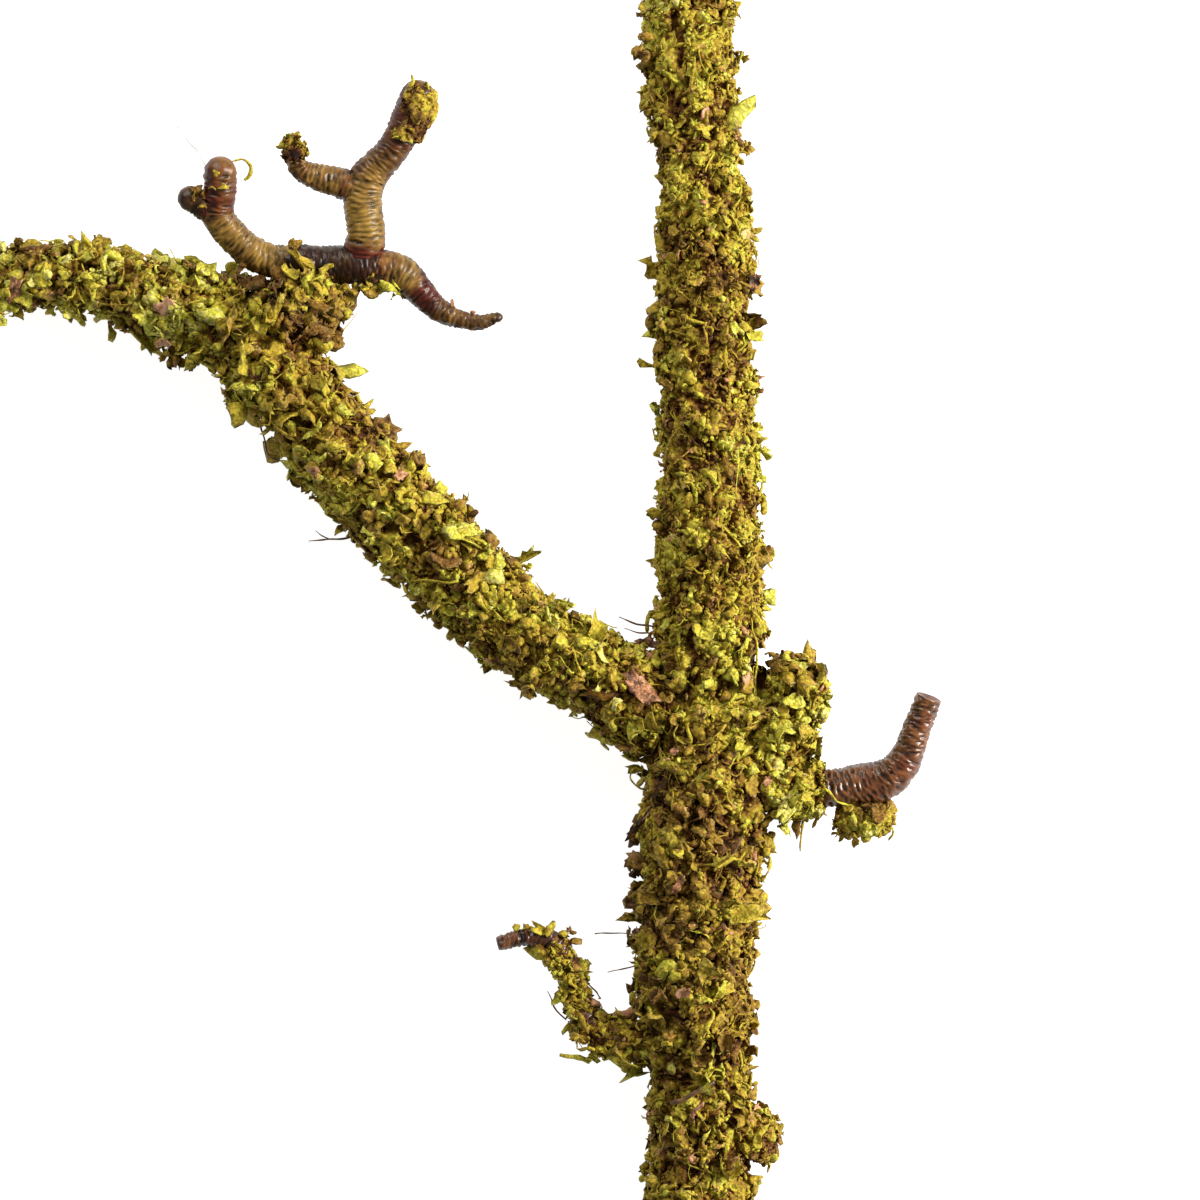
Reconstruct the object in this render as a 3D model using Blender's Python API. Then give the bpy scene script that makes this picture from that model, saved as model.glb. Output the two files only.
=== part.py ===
"""A fruit twig in its crust of lichen crumbs, cut off plainly at three ends and lying on a table.

The wood is one twig, split at its forks. Round each stretch of it lies a sleeve of lichen, a
closed solid that reaches the tips of the flakes. The plan is in millimetres: X to the right and
Y up the stem as seen from above, Z up from the table.
"""

import math

import bmesh
import bpy
import numpy as np
from mathutils import Vector, noise

MM = 0.001
GAP = 0.3            # clearance between pieces that touch
WOOD_STEP = 7.0      # ring spacing along the thick wood
SPUR_STEP = 2.5      # ring spacing along the spurs
CRUST_STEP = 5.0     # ring spacing along the crust
WOOD_SIDES = 3       # bevel resolution of the thick wood: 10 sides
SPUR_SIDES = 2       # bevel resolution of the spurs: 8 sides
CRUST_SIDES = 4      # bevel resolution of the crust: 12 sides
LUMP = 0.75          # how far the crust swells and sinks
LUMP_SPAN = 6.0      # distance over which it does so
BARK_LUMP = 0.12     # the same for the bark of the spurs
BARK_SPAN = 2.2
END_LEG = 0.3        # last leg of a length that meets the next one end to end
BARE_END = 1.2       # bare wood that stands out of the crust at a cut end
DOME_ANGLES = (35, 68)   # rings of a rounded tip, in degrees from its shoulder
FLOOR_SIZE = 400.0   # side of the block that presses the crust flat underneath
FLOOR_DEPTH = 20.0

# Stations down each run of wood: x, y, z, radius of the wood, radius of the crust.
STEM = (
    (12.3, -81.0, 6.2, 4.4, 6.7),
    (12.5, -74.0, 6.4, 4.4, 6.9),
    (12.25, -64.0, 6.9, 4.3, 6.5),
    (12.25, -55.0, 7.6, 4.3, 7.1),
    (11.9, -45.0, 8.2, 4.3, 7.6),
    (12.5, -35.0, 8.7, 4.3, 8.0),
    (13.25, -25.0, 8.7, 4.3, 8.0),
    (13.5, -12.5, 8.2, 4.2, 7.5),
    (13.9, 0.0, 7.6, 4.1, 6.9),
    (13.6, 12.5, 7.2, 4.0, 6.7),
    (13.25, 25.0, 6.9, 4.0, 6.4),
    (13.25, 36.0, 6.7, 3.9, 6.4),
    (13.1, 45.0, 6.4, 3.9, 6.0),
    (12.4, 55.0, 6.1, 3.8, 5.9),
    (11.25, 65.0, 5.8, 3.8, 6.1),
    (11.25, 74.0, 5.4, 3.7, 5.9),
    (11.6, 81.5, 5.2, 3.7, 5.8),
)
SIDE_BRANCH = (
    (13.1, -17.5, 8.6, 3.6, 6.6),
    (5.0, -12.6, 8.5, 3.6, 6.4),
    (-1.25, -9.0, 8.3, 3.5, 6.0),
    (-8.75, -4.4, 8.1, 3.5, 5.9),
    (-14.0, 0.0, 8.0, 3.5, 6.1),
    (-19.5, 5.5, 7.9, 3.5, 6.5),
    (-26.6, 12.4, 7.7, 3.4, 6.5),
    (-31.75, 18.5, 7.5, 3.4, 6.2),
    (-37.5, 25.0, 7.2, 3.4, 6.2),
    (-41.3, 30.0, 6.9, 3.3, 6.3),
    (-45.0, 33.5, 6.4, 3.2, 6.1),
    (-50.0, 35.9, 5.8, 3.0, 5.9),
    (-56.25, 37.75, 5.2, 2.9, 5.4),
    (-62.9, 40.2, 4.7, 2.8, 5.0),
    (-69.1, 41.0, 4.3, 2.8, 4.8),
    (-75.0, 40.0, 4.0, 2.7, 4.6),
    (-80.0, 38.3, 3.9, 2.7, 4.5),
)

# Where the long runs are split, as distances along them.
STEM_FORK = 71.0
STEM_CRUST_SPLITS = (22.0, 44.0, 73.0, 118.0)
STEM_CRUST_NAMES = ("foot", "lower", "fork", "middle", "top")
BRANCH_ELBOW = 73.0
BRANCH_CRUST_START = 5.0
BRANCH_CRUST_SPLITS = (36.0, 65.0, 82.0)
BRANCH_CRUST_NAMES = ("low", "high", "elbow", "end")

# Spurs: x, y, z, radius.
FORK_ROOT = ((-41.3, 30.0, 7.0, 2.9), (-39.3, 35.0, 7.7, 2.8), (-36.8, 39.5, 8.3, 2.5), (-35.4, 41.6, 8.5, 2.2))
FORK_RIDGE = (
    (-41.8, 42.4, 8.8, 1.9),
    (-38.4, 42.1, 8.8, 2.2),
    (-34.0, 41.8, 8.7, 2.3),
    (-30.0, 41.7, 8.6, 2.4),
    (-26.6, 41.3, 8.4, 2.1),
)
LEFT_STALK = (
    (-40.8, 42.2, 8.8, 1.2),
    (-44.4, 44.0, 9.4, 2.1),
    (-46.7, 46.4, 10.3, 2.0),
    (-47.9, 48.6, 11.1, 1.9),
)
LEFT_NUB = ((-47.6, 48.0, 10.9, 1.8), (-47.1, 50.6, 12.0, 1.9), (-47.0, 52.9, 12.8, 2.0))
LEFT_SIDE_NUB = ((-47.5, 47.9, 10.8, 1.6), (-49.6, 49.2, 11.3, 1.7), (-50.8, 49.8, 11.6, 1.5))
CROWN_TRUNK = (
    (-29.6, 41.6, 8.6, 2.7),
    (-29.1, 45.4, 9.5, 2.4),
    (-29.5, 49.5, 10.4, 2.4),
    (-29.4, 52.2, 11.0, 2.3),
)
CROWN_LEFT = (
    (-29.6, 51.2, 10.8, 1.9),
    (-32.2, 51.9, 11.0, 1.8),
    (-35.3, 52.5, 11.4, 1.6),
    (-37.2, 53.5, 11.9, 1.4),
    (-38.0, 55.5, 12.5, 1.2),
)
CROWN_RIGHT = (
    (-29.4, 51.4, 10.9, 2.2),
    (-27.7, 53.8, 11.3, 2.1),
    (-26.0, 55.4, 11.8, 2.0),
    (-24.8, 57.7, 12.4, 1.9),
    (-23.7, 60.1, 13.0, 2.1),
    (-22.9, 62.0, 13.5, 2.1),
)
TAIL = (
    (-28.0, 41.4, 8.5, 2.2),
    (-24.5, 40.6, 8.1, 2.1),
    (-22.4, 38.6, 7.8, 1.8),
    (-20.5, 36.6, 7.5, 1.5),
    (-18.0, 35.2, 7.2, 1.3),
    (-15.4, 34.7, 7.0, 1.1),
    (-12.9, 35.3, 6.9, 0.8),
)
RIGHT_SPUR = (
    (14.0, -21.6, 8.7, 2.3),
    (20.0, -22.6, 8.8, 2.3),
    (25.0, -23.3, 9.0, 2.3),
    (29.0, -23.4, 9.4, 2.4),
    (32.6, -22.8, 9.8, 2.4),
    (35.7, -21.4, 10.3, 2.2),
    (37.7, -18.8, 10.9, 1.8),
    (39.0, -15.8, 11.6, 1.65),
    (40.7, -12.0, 12.4, 1.65),
)
BUD = ((14.0, -19.0, 8.7, 2.8), (19.6, -17.6, 9.3, 3.0), (23.2, -14.2, 9.8, 3.3), (24.4, -10.4, 10.1, 3.1))
HOOK = (
    (13.0, -55.8, 7.6, 1.9),
    (7.5, -55.5, 7.6, 1.9),
    (2.6, -54.9, 7.8, 1.8),
    (-0.8, -53.4, 8.1, 1.7),
    (-2.6, -50.6, 8.5, 1.6),
    (-3.5, -47.2, 8.9, 1.6),
    (-4.6, -44.2, 9.3, 1.6),
    (-6.6, -42.5, 9.6, 1.7),
    (-9.2, -42.2, 9.9, 1.6),
    (-12.1, -42.7, 10.1, 1.4),
)
LOW_STUB = ((12.6, -66.2, 6.8, 2.2), (16.0, -66.8, 7.3, 2.2), (18.6, -67.2, 7.6, 1.9))

# Crust on the spurs: x, y, z, radius.
CLUMP_CRUST = ((-40.4, 32.4, 7.2, 5.6), (-38.0, 36.0, 7.7, 6.3), (-36.8, 38.8, 8.0, 5.6), (-36.4, 40.6, 8.1, 4.4))
BUD_CRUST = ((16.5, -19.5, 9.0, 4.4), (20.6, -18.2, 9.4, 4.9), (23.4, -14.6, 9.8, 5.0), (24.3, -10.8, 10.1, 4.6))
RIGHT_CRUST = ((16.0, -22.0, 8.8, 5.4), (21.0, -22.7, 8.9, 5.2), (25.0, -23.3, 9.0, 4.6), (28.2, -23.4, 9.3, 3.6))
HANGING_CRUST = ((29.8, -26.0, 8.6, 2.2), (32.2, -27.2, 8.5, 3.0), (34.6, -27.0, 8.5, 2.6))
HOOK_CRUST = (
    (9.0, -55.6, 7.6, 4.2),
    (5.5, -55.3, 7.7, 3.6),
    (2.4, -54.8, 7.8, 3.2),
    (-0.8, -53.4, 8.1, 2.9),
    (-2.6, -50.6, 8.5, 2.7),
    (-3.5, -47.2, 8.9, 2.6),
    (-4.6, -44.3, 9.3, 2.6),
    (-6.2, -42.6, 9.6, 2.4),
)
LOW_STUB_CRUST = ((14.0, -66.5, 7.1, 4.7), (17.6, -67.0, 7.5, 4.6), (19.0, -67.2, 7.7, 3.9))
CROWN_TIP_CRUST = ((-24.0, 57.0, 13.1, 2.2), (-22.9, 59.8, 13.8, 2.6), (-22.4, 61.5, 14.0, 2.7))
CROWN_ARM_CRUST = ((-37.6, 54.1, 12.4, 1.8), (-38.0, 55.6, 12.9, 1.9))

SPUR_TIP_CUP = 1.15   # radius of the ball that hollows the right spur's cut tip
SPUR_TIP_DIP = 0.45   # how deep it goes

WOOD_BROWN = (0.20, 0.11, 0.06)
BARK_BROWN = (0.25, 0.15, 0.09)
BARK_RED = (0.20, 0.07, 0.04)
LICHEN_GREEN = (0.28, 0.25, 0.05)


def clear_scene():
    for obj in list(bpy.data.objects):
        bpy.data.objects.remove(obj, do_unlink=True)


def collection(name):
    made = bpy.data.collections.new(name)
    bpy.context.scene.collection.children.link(made)
    return made


def smooth(stations, step):
    """Rows every step along a Catmull-Rom curve through the stations."""
    rows = np.array(stations, float)
    before = 2 * rows[:1] - rows[1:2]
    after = 2 * rows[-1:] - rows[-2:-1]
    padded = np.vstack([before, rows, after])
    t = np.linspace(0, 1, 16, endpoint=False)[:, None]
    dense = []
    for a, b, c, d in zip(padded, padded[1:], padded[2:], padded[3:]):
        bend = (2 * a - 5 * b + 4 * c - d) * t**2
        twist = (3 * b - a - 3 * c + d) * t**3
        dense.append(0.5 * (2 * b + (c - a) * t + bend + twist))
    dense = np.vstack(dense + [rows[-1:]])
    return resample(dense, step)


def run_of(rows):
    """Distance along the route at each row."""
    legs = np.linalg.norm(np.diff(rows[:, :3], axis=0), axis=1)
    return np.concatenate([[0], np.cumsum(legs)])


def resample(rows, step, start=0.0, end=None, square=False):
    """Evenly spaced rows between two distances along a route. Square ends follow it closely."""
    run = run_of(rows)
    end = run[-1] if end is None else end
    count = max(2, round((end - start) / step) + 1)
    places = np.linspace(start, end, count)
    if square:
        places = np.sort([*places, start + END_LEG, end - END_LEG])
    return np.column_stack([np.interp(places, run, column) for column in rows.T])


def domed(rows):
    """Rows with a rounded tip added past the last one."""
    tip = rows[-1]
    ahead = tip[:3] - rows[-2][:3]
    ahead /= np.linalg.norm(ahead)
    rings = []
    for angle in np.radians(DOME_ANGLES):
        place = tip[:3] + ahead * tip[3] * math.sin(angle)
        rings.append([*place, tip[3] * math.cos(angle)])
    return np.vstack([rows, rings])


def mesh_of(obj):
    """A copy of the object's mesh with its modifiers applied."""
    depsgraph = bpy.context.evaluated_depsgraph_get()
    return bpy.data.meshes.new_from_object(obj.evaluated_get(depsgraph))


def tube(name, rows, sides, home):
    """A closed tube through rows of x, y, z, radius."""
    curve = bpy.data.curves.new(name, "CURVE")
    curve.dimensions = "3D"
    curve.bevel_depth = MM
    curve.bevel_resolution = sides
    curve.use_fill_caps = True
    spline = curve.splines.new("POLY")
    spline.points.add(len(rows) - 1)
    for point, row in zip(spline.points, rows):
        point.co = (*(row[:3] * MM), 1)
        point.radius = row[3]
    guide = bpy.data.objects.new(name + "_guide", curve)
    home.objects.link(guide)
    mesh = mesh_of(guide)
    bpy.data.objects.remove(guide)
    bm = bmesh.new()
    bm.from_mesh(mesh)
    bmesh.ops.remove_doubles(bm, verts=bm.verts, dist=1e-6)
    bmesh.ops.recalc_face_normals(bm, faces=bm.faces)
    bm.to_mesh(mesh)
    bm.free()
    mesh.name = name
    made = bpy.data.objects.new(name, mesh)
    home.objects.link(made)
    return made


def roughen(obj, rows, height, span):
    """Moves each vertex towards or away from the route by smooth noise."""
    centres = rows[:, :3] * MM
    legs = np.diff(centres, axis=0)
    squares = (legs**2).sum(1)
    for vertex in obj.data.vertices:
        place = np.array(vertex.co)
        along = np.clip(((place - centres[:-1]) * legs).sum(1) / squares, 0, 1)
        feet = centres[:-1] + legs * along[:, None]
        away = place - feet[np.linalg.norm(place - feet, axis=1).argmin()]
        swell = noise.noise(vertex.co / (span * MM)) * height * MM
        vertex.co += Vector(away / np.linalg.norm(away)) * swell
    return obj


def boolean(obj, other, operation):
    modifier = obj.modifiers.new(operation.lower() + "_" + other.name, "BOOLEAN")
    modifier.operation = operation
    modifier.solver = "EXACT"
    modifier.object = other


def fused(name, pieces, home):
    """One solid from several that overlap."""
    body = pieces[0]
    for other in pieces[1:]:
        boolean(body, other, "UNION")
    mesh = mesh_of(body)
    mesh.name = name
    for piece in pieces:
        bpy.data.objects.remove(piece)
    made = bpy.data.objects.new(name, mesh)
    home.objects.link(made)
    return made


def clearance(obj, home):
    """A hidden copy of a piece's first shape, GAP larger all round."""
    name = obj.name + "_clearance"
    if name in home.objects:
        return home.objects[name]
    bm = bmesh.new()
    bm.from_mesh(obj.data)
    bm.normal_update()
    moves = [vertex.normal * vertex.calc_shell_factor() * GAP * MM for vertex in bm.verts]
    for vertex, move in zip(bm.verts, moves):
        vertex.co += move
    mesh = bpy.data.meshes.new(name)
    bm.to_mesh(mesh)
    bm.free()
    return hidden(name, mesh, home)


def hidden(name, mesh, home):
    cutter = bpy.data.objects.new(name, mesh)
    cutter.display_type = "WIRE"
    cutter.hide_render = True
    home.objects.link(cutter)
    return cutter


def keep_clear(piece, others, cutters):
    for other in others:
        boolean(piece, clearance(other, cutters), "DIFFERENCE")


def floor_block(cutters):
    """The space under the table's surface."""
    bm = bmesh.new()
    bmesh.ops.create_cube(bm, size=1)
    bmesh.ops.scale(bm, vec=(FLOOR_SIZE * MM, FLOOR_SIZE * MM, FLOOR_DEPTH * MM), verts=bm.verts)
    bmesh.ops.translate(bm, vec=(0, 0, -FLOOR_DEPTH * MM / 2), verts=bm.verts)
    mesh = bpy.data.meshes.new("floor_block")
    bm.to_mesh(mesh)
    bm.free()
    return hidden("floor_block", mesh, cutters)


def paint(obj, colour, roughness):
    material = bpy.data.materials.new(obj.name + "_finish")
    material.use_nodes = True
    shader = material.node_tree.nodes["Principled BSDF"]
    shader.inputs["Base Color"].default_value = (*colour, 1)
    shader.inputs["Roughness"].default_value = roughness
    shader.inputs["Metallic"].default_value = 0
    obj.data.materials.clear()
    obj.data.materials.append(material)


def spur(name, stations, home, rounded=True):
    """One unbranched spur with slightly uneven bark."""
    rows = smooth(stations, SPUR_STEP)
    if rounded:
        rows = domed(rows)
    return roughen(tube(name, rows, SPUR_SIDES, home), rows, BARK_LUMP, BARK_SPAN)


def crust(name, rows, home):
    return roughen(tube(name, rows, CRUST_SIDES, home), rows, LUMP, LUMP_SPAN)


def stretches(dense, splits, names, prefix, home):
    """A long crust cut into lengths that keep GAP between them."""
    made = []
    for name, start, end in zip(names, splits, splits[1:]):
        rows = resample(dense, CRUST_STEP, start + GAP / 2, end - GAP / 2, square=True)
        made.append(crust(prefix + name, rows[:, [0, 1, 2, 4]], home))
    return made


def main_wood(home, cutters):
    """The stem and the side branch, each in two lengths, split at the fork and at the elbow."""
    stem = smooth(STEM, 1)
    branch = smooth(SIDE_BRANCH, 1)
    lengths = (
        ("stem_lower", stem, 0, STEM_FORK),
        ("stem_upper", stem, STEM_FORK + GAP, None),
        ("side_branch", branch, 0, BRANCH_ELBOW),
        ("side_branch_end", branch, BRANCH_ELBOW + GAP, None),
    )
    made = {}
    for name, dense, start, end in lengths:
        rows = resample(dense, WOOD_STEP, start, end, square=True)[:, :4]
        made[name] = tube(name, rows, WOOD_SIDES, home)
    keep_clear(made["side_branch"], [made["stem_lower"], made["stem_upper"]], cutters)
    return made


def elbow_spurs(home, cutters, wood):
    """The forked cluster above the elbow: a ridge with a left spur, a crown and a tail."""
    parts = [
        spur("root", FORK_ROOT, home, rounded=False),
        spur("ridge", FORK_RIDGE, home),
    ]
    fork = fused("spur_fork", parts, home)
    parts = [
        spur("stalk", LEFT_STALK, home),
        spur("nub", LEFT_NUB, home),
        spur("side_nub", LEFT_SIDE_NUB, home),
    ]
    left = fused("spur_left", parts, home)
    parts = [
        spur("trunk", CROWN_TRUNK, home),
        spur("arm_left", CROWN_LEFT, home),
        spur("arm_right", CROWN_RIGHT, home),
    ]
    crown = fused("spur_crown", parts, home)
    tail = spur("spur_tail", TAIL, home)
    keep_clear(fork, [wood["side_branch"], wood["side_branch_end"]], cutters)
    keep_clear(left, [fork], cutters)
    keep_clear(crown, [fork], cutters)
    keep_clear(tail, [fork, crown], cutters)
    return {"spur_fork": fork, "spur_left": left, "spur_crown": crown, "spur_tail": tail}


def stem_spurs(home, cutters, wood):
    """The single spurs that leave the stem."""
    right = spur("spur_right", RIGHT_SPUR, home, rounded=False)
    hollow_tip(right, cutters)
    made = {
        "spur_bud": spur("spur_bud", BUD, home),
        "spur_right": right,
        "spur_hook": spur("spur_hook", HOOK, home, rounded=False),
        "stub_low": spur("stub_low", LOW_STUB, home),
    }
    for piece in made.values():
        keep_clear(piece, [wood["stem_lower"]], cutters)
    keep_clear(right, [made["spur_bud"]], cutters)
    return made


def hollow_tip(piece, cutters):
    """A shallow cup in the cut tip of the right spur."""
    tip = Vector(RIGHT_SPUR[-1][:3])
    ahead = (tip - Vector(RIGHT_SPUR[-2][:3])).normalized()
    centre = tip + ahead * (SPUR_TIP_CUP - SPUR_TIP_DIP)
    bm = bmesh.new()
    bmesh.ops.create_uvsphere(bm, u_segments=12, v_segments=8, radius=SPUR_TIP_CUP * MM)
    bmesh.ops.translate(bm, vec=centre * MM, verts=bm.verts)
    mesh = bpy.data.meshes.new("tip_cup")
    bm.to_mesh(mesh)
    bm.free()
    boolean(piece, hidden("tip_cup", mesh, cutters), "DIFFERENCE")


def long_crusts(home, cutters, wood, spurs, floor):
    """The sleeves along the stem and the side branch."""
    stem = smooth(STEM, 1)
    ends = (BARE_END, *STEM_CRUST_SPLITS, run_of(stem)[-1] - BARE_END)
    stem_crust = stretches(stem, ends, STEM_CRUST_NAMES, "lichen_stem_", home)
    branch = smooth(SIDE_BRANCH, 1)
    ends = (BRANCH_CRUST_START, *BRANCH_CRUST_SPLITS, run_of(branch)[-1] - BARE_END)
    branch_crust = stretches(branch, ends, BRANCH_CRUST_NAMES, "lichen_branch_", home)
    rooted = [spurs[name] for name in ("spur_bud", "spur_right", "spur_hook", "stub_low")]
    for piece in stem_crust:
        keep_clear(piece, [wood["stem_lower"], wood["stem_upper"], wood["side_branch"], *rooted], cutters)
    keep_clear(branch_crust[0], stem_crust[2:4], cutters)
    for piece in branch_crust:
        keep_clear(piece, [wood["side_branch"], wood["side_branch_end"]], cutters)
        keep_clear(piece, [spurs["spur_fork"]], cutters)
    for piece in stem_crust + branch_crust:
        boolean(piece, floor, "DIFFERENCE")
    return {piece.name: piece for piece in stem_crust + branch_crust}


def spur_crust(name, stations, home, rounded=True):
    rows = smooth(stations, SPUR_STEP)
    if rounded:
        rows = domed(rows)
    return roughen(tube(name, rows, CRUST_SIDES - 1, home), rows, LUMP / 2, LUMP_SPAN / 2)


def spur_crusts(home, cutters, wood, spurs, sleeves):
    """The clumps and sleeves of lichen on the spurs."""
    clump = spur_crust("lichen_clump", CLUMP_CRUST, home)
    bud = spur_crust("lichen_bud", BUD_CRUST, home)
    right = spur_crust("lichen_right", RIGHT_CRUST, home, rounded=False)
    hanging = spur_crust("lichen_hanging", HANGING_CRUST, home)
    hook = spur_crust("lichen_hook", HOOK_CRUST, home, rounded=False)
    low = spur_crust("lichen_low_stub", LOW_STUB_CRUST, home)
    tip = spur_crust("lichen_crown_tip", CROWN_TIP_CRUST, home)
    arm = spur_crust("lichen_crown_arm", CROWN_ARM_CRUST, home)
    branch = [sleeves["lichen_branch_" + name] for name in ("high", "elbow", "end")]
    keep_clear(clump, [*branch, wood["side_branch"], wood["side_branch_end"]], cutters)
    keep_clear(clump, [spurs["spur_fork"], spurs["spur_left"], spurs["spur_crown"]], cutters)
    keep_clear(bud, [sleeves["lichen_stem_fork"], spurs["spur_bud"], spurs["spur_right"]], cutters)
    keep_clear(right, [sleeves["lichen_stem_fork"], bud, spurs["spur_bud"], spurs["spur_right"]], cutters)
    keep_clear(hanging, [right, spurs["spur_right"]], cutters)
    keep_clear(hook, [sleeves["lichen_stem_lower"], sleeves["lichen_stem_foot"], spurs["spur_hook"]], cutters)
    keep_clear(low, [sleeves["lichen_stem_foot"], spurs["stub_low"]], cutters)
    keep_clear(tip, [spurs["spur_crown"]], cutters)
    keep_clear(arm, [spurs["spur_crown"]], cutters)
    made = (clump, bud, right, hanging, hook, low, tip, arm)
    return {piece.name: piece for piece in made}


def stand_on_origin(parts, cutters):
    """Moves everything so that the origin is under the middle of the whole twig's box."""
    depsgraph = bpy.context.evaluated_depsgraph_get()
    corners = []
    for obj in parts.objects:
        mesh = obj.evaluated_get(depsgraph).data
        places = np.empty(len(mesh.vertices) * 3)
        mesh.vertices.foreach_get("co", places)
        corners += [places.reshape(-1, 3).min(0), places.reshape(-1, 3).max(0)]
    low = np.min(corners, axis=0)
    high = np.max(corners, axis=0)
    middle = Vector(((low[0] + high[0]) / 2, (low[1] + high[1]) / 2, low[2]))
    for obj in [*parts.objects, *cutters.objects]:
        obj.location = -middle


def main():
    clear_scene()
    parts = collection("lichen_twig")
    cutters = collection("clearances")
    wood = main_wood(parts, cutters)
    spurs = elbow_spurs(parts, cutters, wood) | stem_spurs(parts, cutters, wood)
    sleeves = long_crusts(parts, cutters, wood, spurs, floor_block(cutters))
    sleeves |= spur_crusts(parts, cutters, wood, spurs, sleeves)
    for piece in wood.values():
        paint(piece, WOOD_BROWN, 0.75)
    for name, piece in spurs.items():
        reddish = name in ("spur_fork", "spur_left", "spur_crown", "spur_tail")
        paint(piece, BARK_RED if reddish else BARK_BROWN, 0.35)
    for piece in sleeves.values():
        paint(piece, LICHEN_GREEN, 0.9)
    stand_on_origin(parts, cutters)


main()
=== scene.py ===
"""The looks of a fruit twig in its crust of lichen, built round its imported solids."""

import itertools
import math

import bpy
import numpy as np
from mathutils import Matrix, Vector
from mathutils.bvhtree import BVHTree


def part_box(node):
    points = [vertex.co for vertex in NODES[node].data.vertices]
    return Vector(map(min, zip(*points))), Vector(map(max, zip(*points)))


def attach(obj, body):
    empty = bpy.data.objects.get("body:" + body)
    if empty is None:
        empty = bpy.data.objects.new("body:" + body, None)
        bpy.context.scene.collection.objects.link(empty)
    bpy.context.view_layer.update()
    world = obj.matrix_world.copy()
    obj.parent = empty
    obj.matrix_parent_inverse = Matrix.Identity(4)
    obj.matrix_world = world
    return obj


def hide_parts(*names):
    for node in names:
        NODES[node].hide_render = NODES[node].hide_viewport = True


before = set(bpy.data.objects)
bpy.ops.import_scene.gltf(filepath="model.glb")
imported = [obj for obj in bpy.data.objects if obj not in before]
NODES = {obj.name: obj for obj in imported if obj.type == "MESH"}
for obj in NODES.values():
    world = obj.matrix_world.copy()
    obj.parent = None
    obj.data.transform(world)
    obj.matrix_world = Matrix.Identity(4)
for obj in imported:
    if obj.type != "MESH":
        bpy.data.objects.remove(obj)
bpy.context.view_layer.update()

bl_info = {
    "name": "Lichen Twig",
    "version": (1, 0, 0),
    "blender": (4, 5, 0),
    "location": "View3D > Sidebar > Twig",
    "description": "Covers a cut fruit twig with bark, lichen flakes, strands and chips",
    "category": "Add Mesh",
}

MM = 0.001
SEED = 20
LICHEN = sorted(name for name in NODES if name.startswith("lichen_"))

# How coarse the crust is on each stretch: above 1, more large flakes and fewer crumbs.
COARSENESS = {
    "lichen_stem_middle": 0.7,
    "lichen_stem_top": 0.8,
    "lichen_stem_fork": 1.25,
    "lichen_stem_lower": 1.35,
    "lichen_stem_foot": 1.25,
    "lichen_branch_low": 1.35,
    "lichen_branch_high": 1.6,
    "lichen_branch_elbow": 2.2,
    "lichen_branch_end": 1.8,
    "lichen_clump": 2.4,
    "lichen_bud": 1.3,
}

# How much paler and yellower than usual the flakes on a stretch are: partly how fresh the lichen is, partly
# painted light and shade, as the branch end is drawn paler where light falls on it and the clump darker
# where it lies in shade.
FRESHNESS_AND_PAINTED_LIGHT = {
    "lichen_branch_end": 0.22,
    "lichen_branch_high": 0.06,
    "lichen_branch_low": 0.1,
    "lichen_branch_elbow": 0.04,
    "lichen_stem_top": 0.08,
    "lichen_stem_middle": 0.06,
    "lichen_stem_lower": -0.08,
    "lichen_stem_fork": 0.0,
    "lichen_crown_tip": -0.08,
    "lichen_bud": 0.24,
    "lichen_right": 0.14,
    "lichen_clump": -0.14,
    "lichen_hook": 0.12,
}
CLUMP_TOP = 40.4   # the clump's flakes stop at the ridge, at this plan y

# Crusts on the thin spurs are thin themselves, so their bed and flakes sink by only this share.
THINNESS = {
    "lichen_hanging": 0.5,
    "lichen_low_stub": 0.6,
    "lichen_crown_tip": 0.4,
    "lichen_crown_arm": 0.95,
    "lichen_right": 0.7,
    "lichen_bud": 0.75,
}

# The spurs, laid out in millimetres on the twig's plan as the solids are: x, y, z, radius.
RIDGE = (
    (-38.6, 42.1, 8.8, 2.1),
    (-37.2, 42.0, 8.8, 2.25),
    (-34.0, 41.8, 8.7, 2.35),
    (-30.0, 41.7, 8.6, 2.5),
    (-27.4, 41.4, 8.5, 2.35),
)
ROOT = ((-41.3, 30.0, 7.0, 2.9), (-39.3, 35.0, 7.7, 2.8), (-36.8, 39.5, 8.3, 2.5), (-35.4, 41.6, 8.5, 2.0))
LEFT_STALK = (
    (-39.0, 42.1, 8.8, 2.1),
    (-41.4, 42.4, 8.9, 2.15),
    (-44.4, 44.0, 9.4, 2.1),
    (-46.7, 46.4, 10.3, 2.05),
    (-47.6, 48.2, 11.0, 2.0),
    (-47.1, 50.6, 12.0, 1.95),
    (-47.0, 52.9, 12.8, 2.0),
)
LEFT_SIDE_NUB = (
    (-46.9, 47.2, 10.6, 1.7),
    (-48.4, 48.5, 11.1, 1.75),
    (-49.7, 49.3, 11.4, 1.7),
    (-50.8, 49.8, 11.6, 1.55),
)
CROWN_RUN = (
    (-29.9, 41.2, 7.9, 1.8),
    (-29.5, 43.2, 8.7, 2.4),
    (-29.1, 45.4, 9.5, 2.4),
    (-29.5, 49.5, 10.4, 2.4),
    (-29.0, 52.0, 11.0, 2.35),
    (-27.7, 53.8, 11.3, 2.15),
    (-26.0, 55.4, 11.8, 2.0),
    (-24.6, 57.7, 12.4, 1.95),
    (-23.3, 60.1, 13.0, 2.15),
    (-22.6, 62.2, 13.5, 2.1),
)
CROWN_LEFT = (
    (-29.4, 50.9, 10.7, 2.2),
    (-31.0, 51.4, 10.9, 1.95),
    (-32.6, 51.8, 11.0, 1.75),
    (-35.3, 52.5, 11.4, 1.6),
    (-37.2, 53.5, 11.9, 1.4),
    (-38.0, 55.5, 12.5, 1.2),
)
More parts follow.
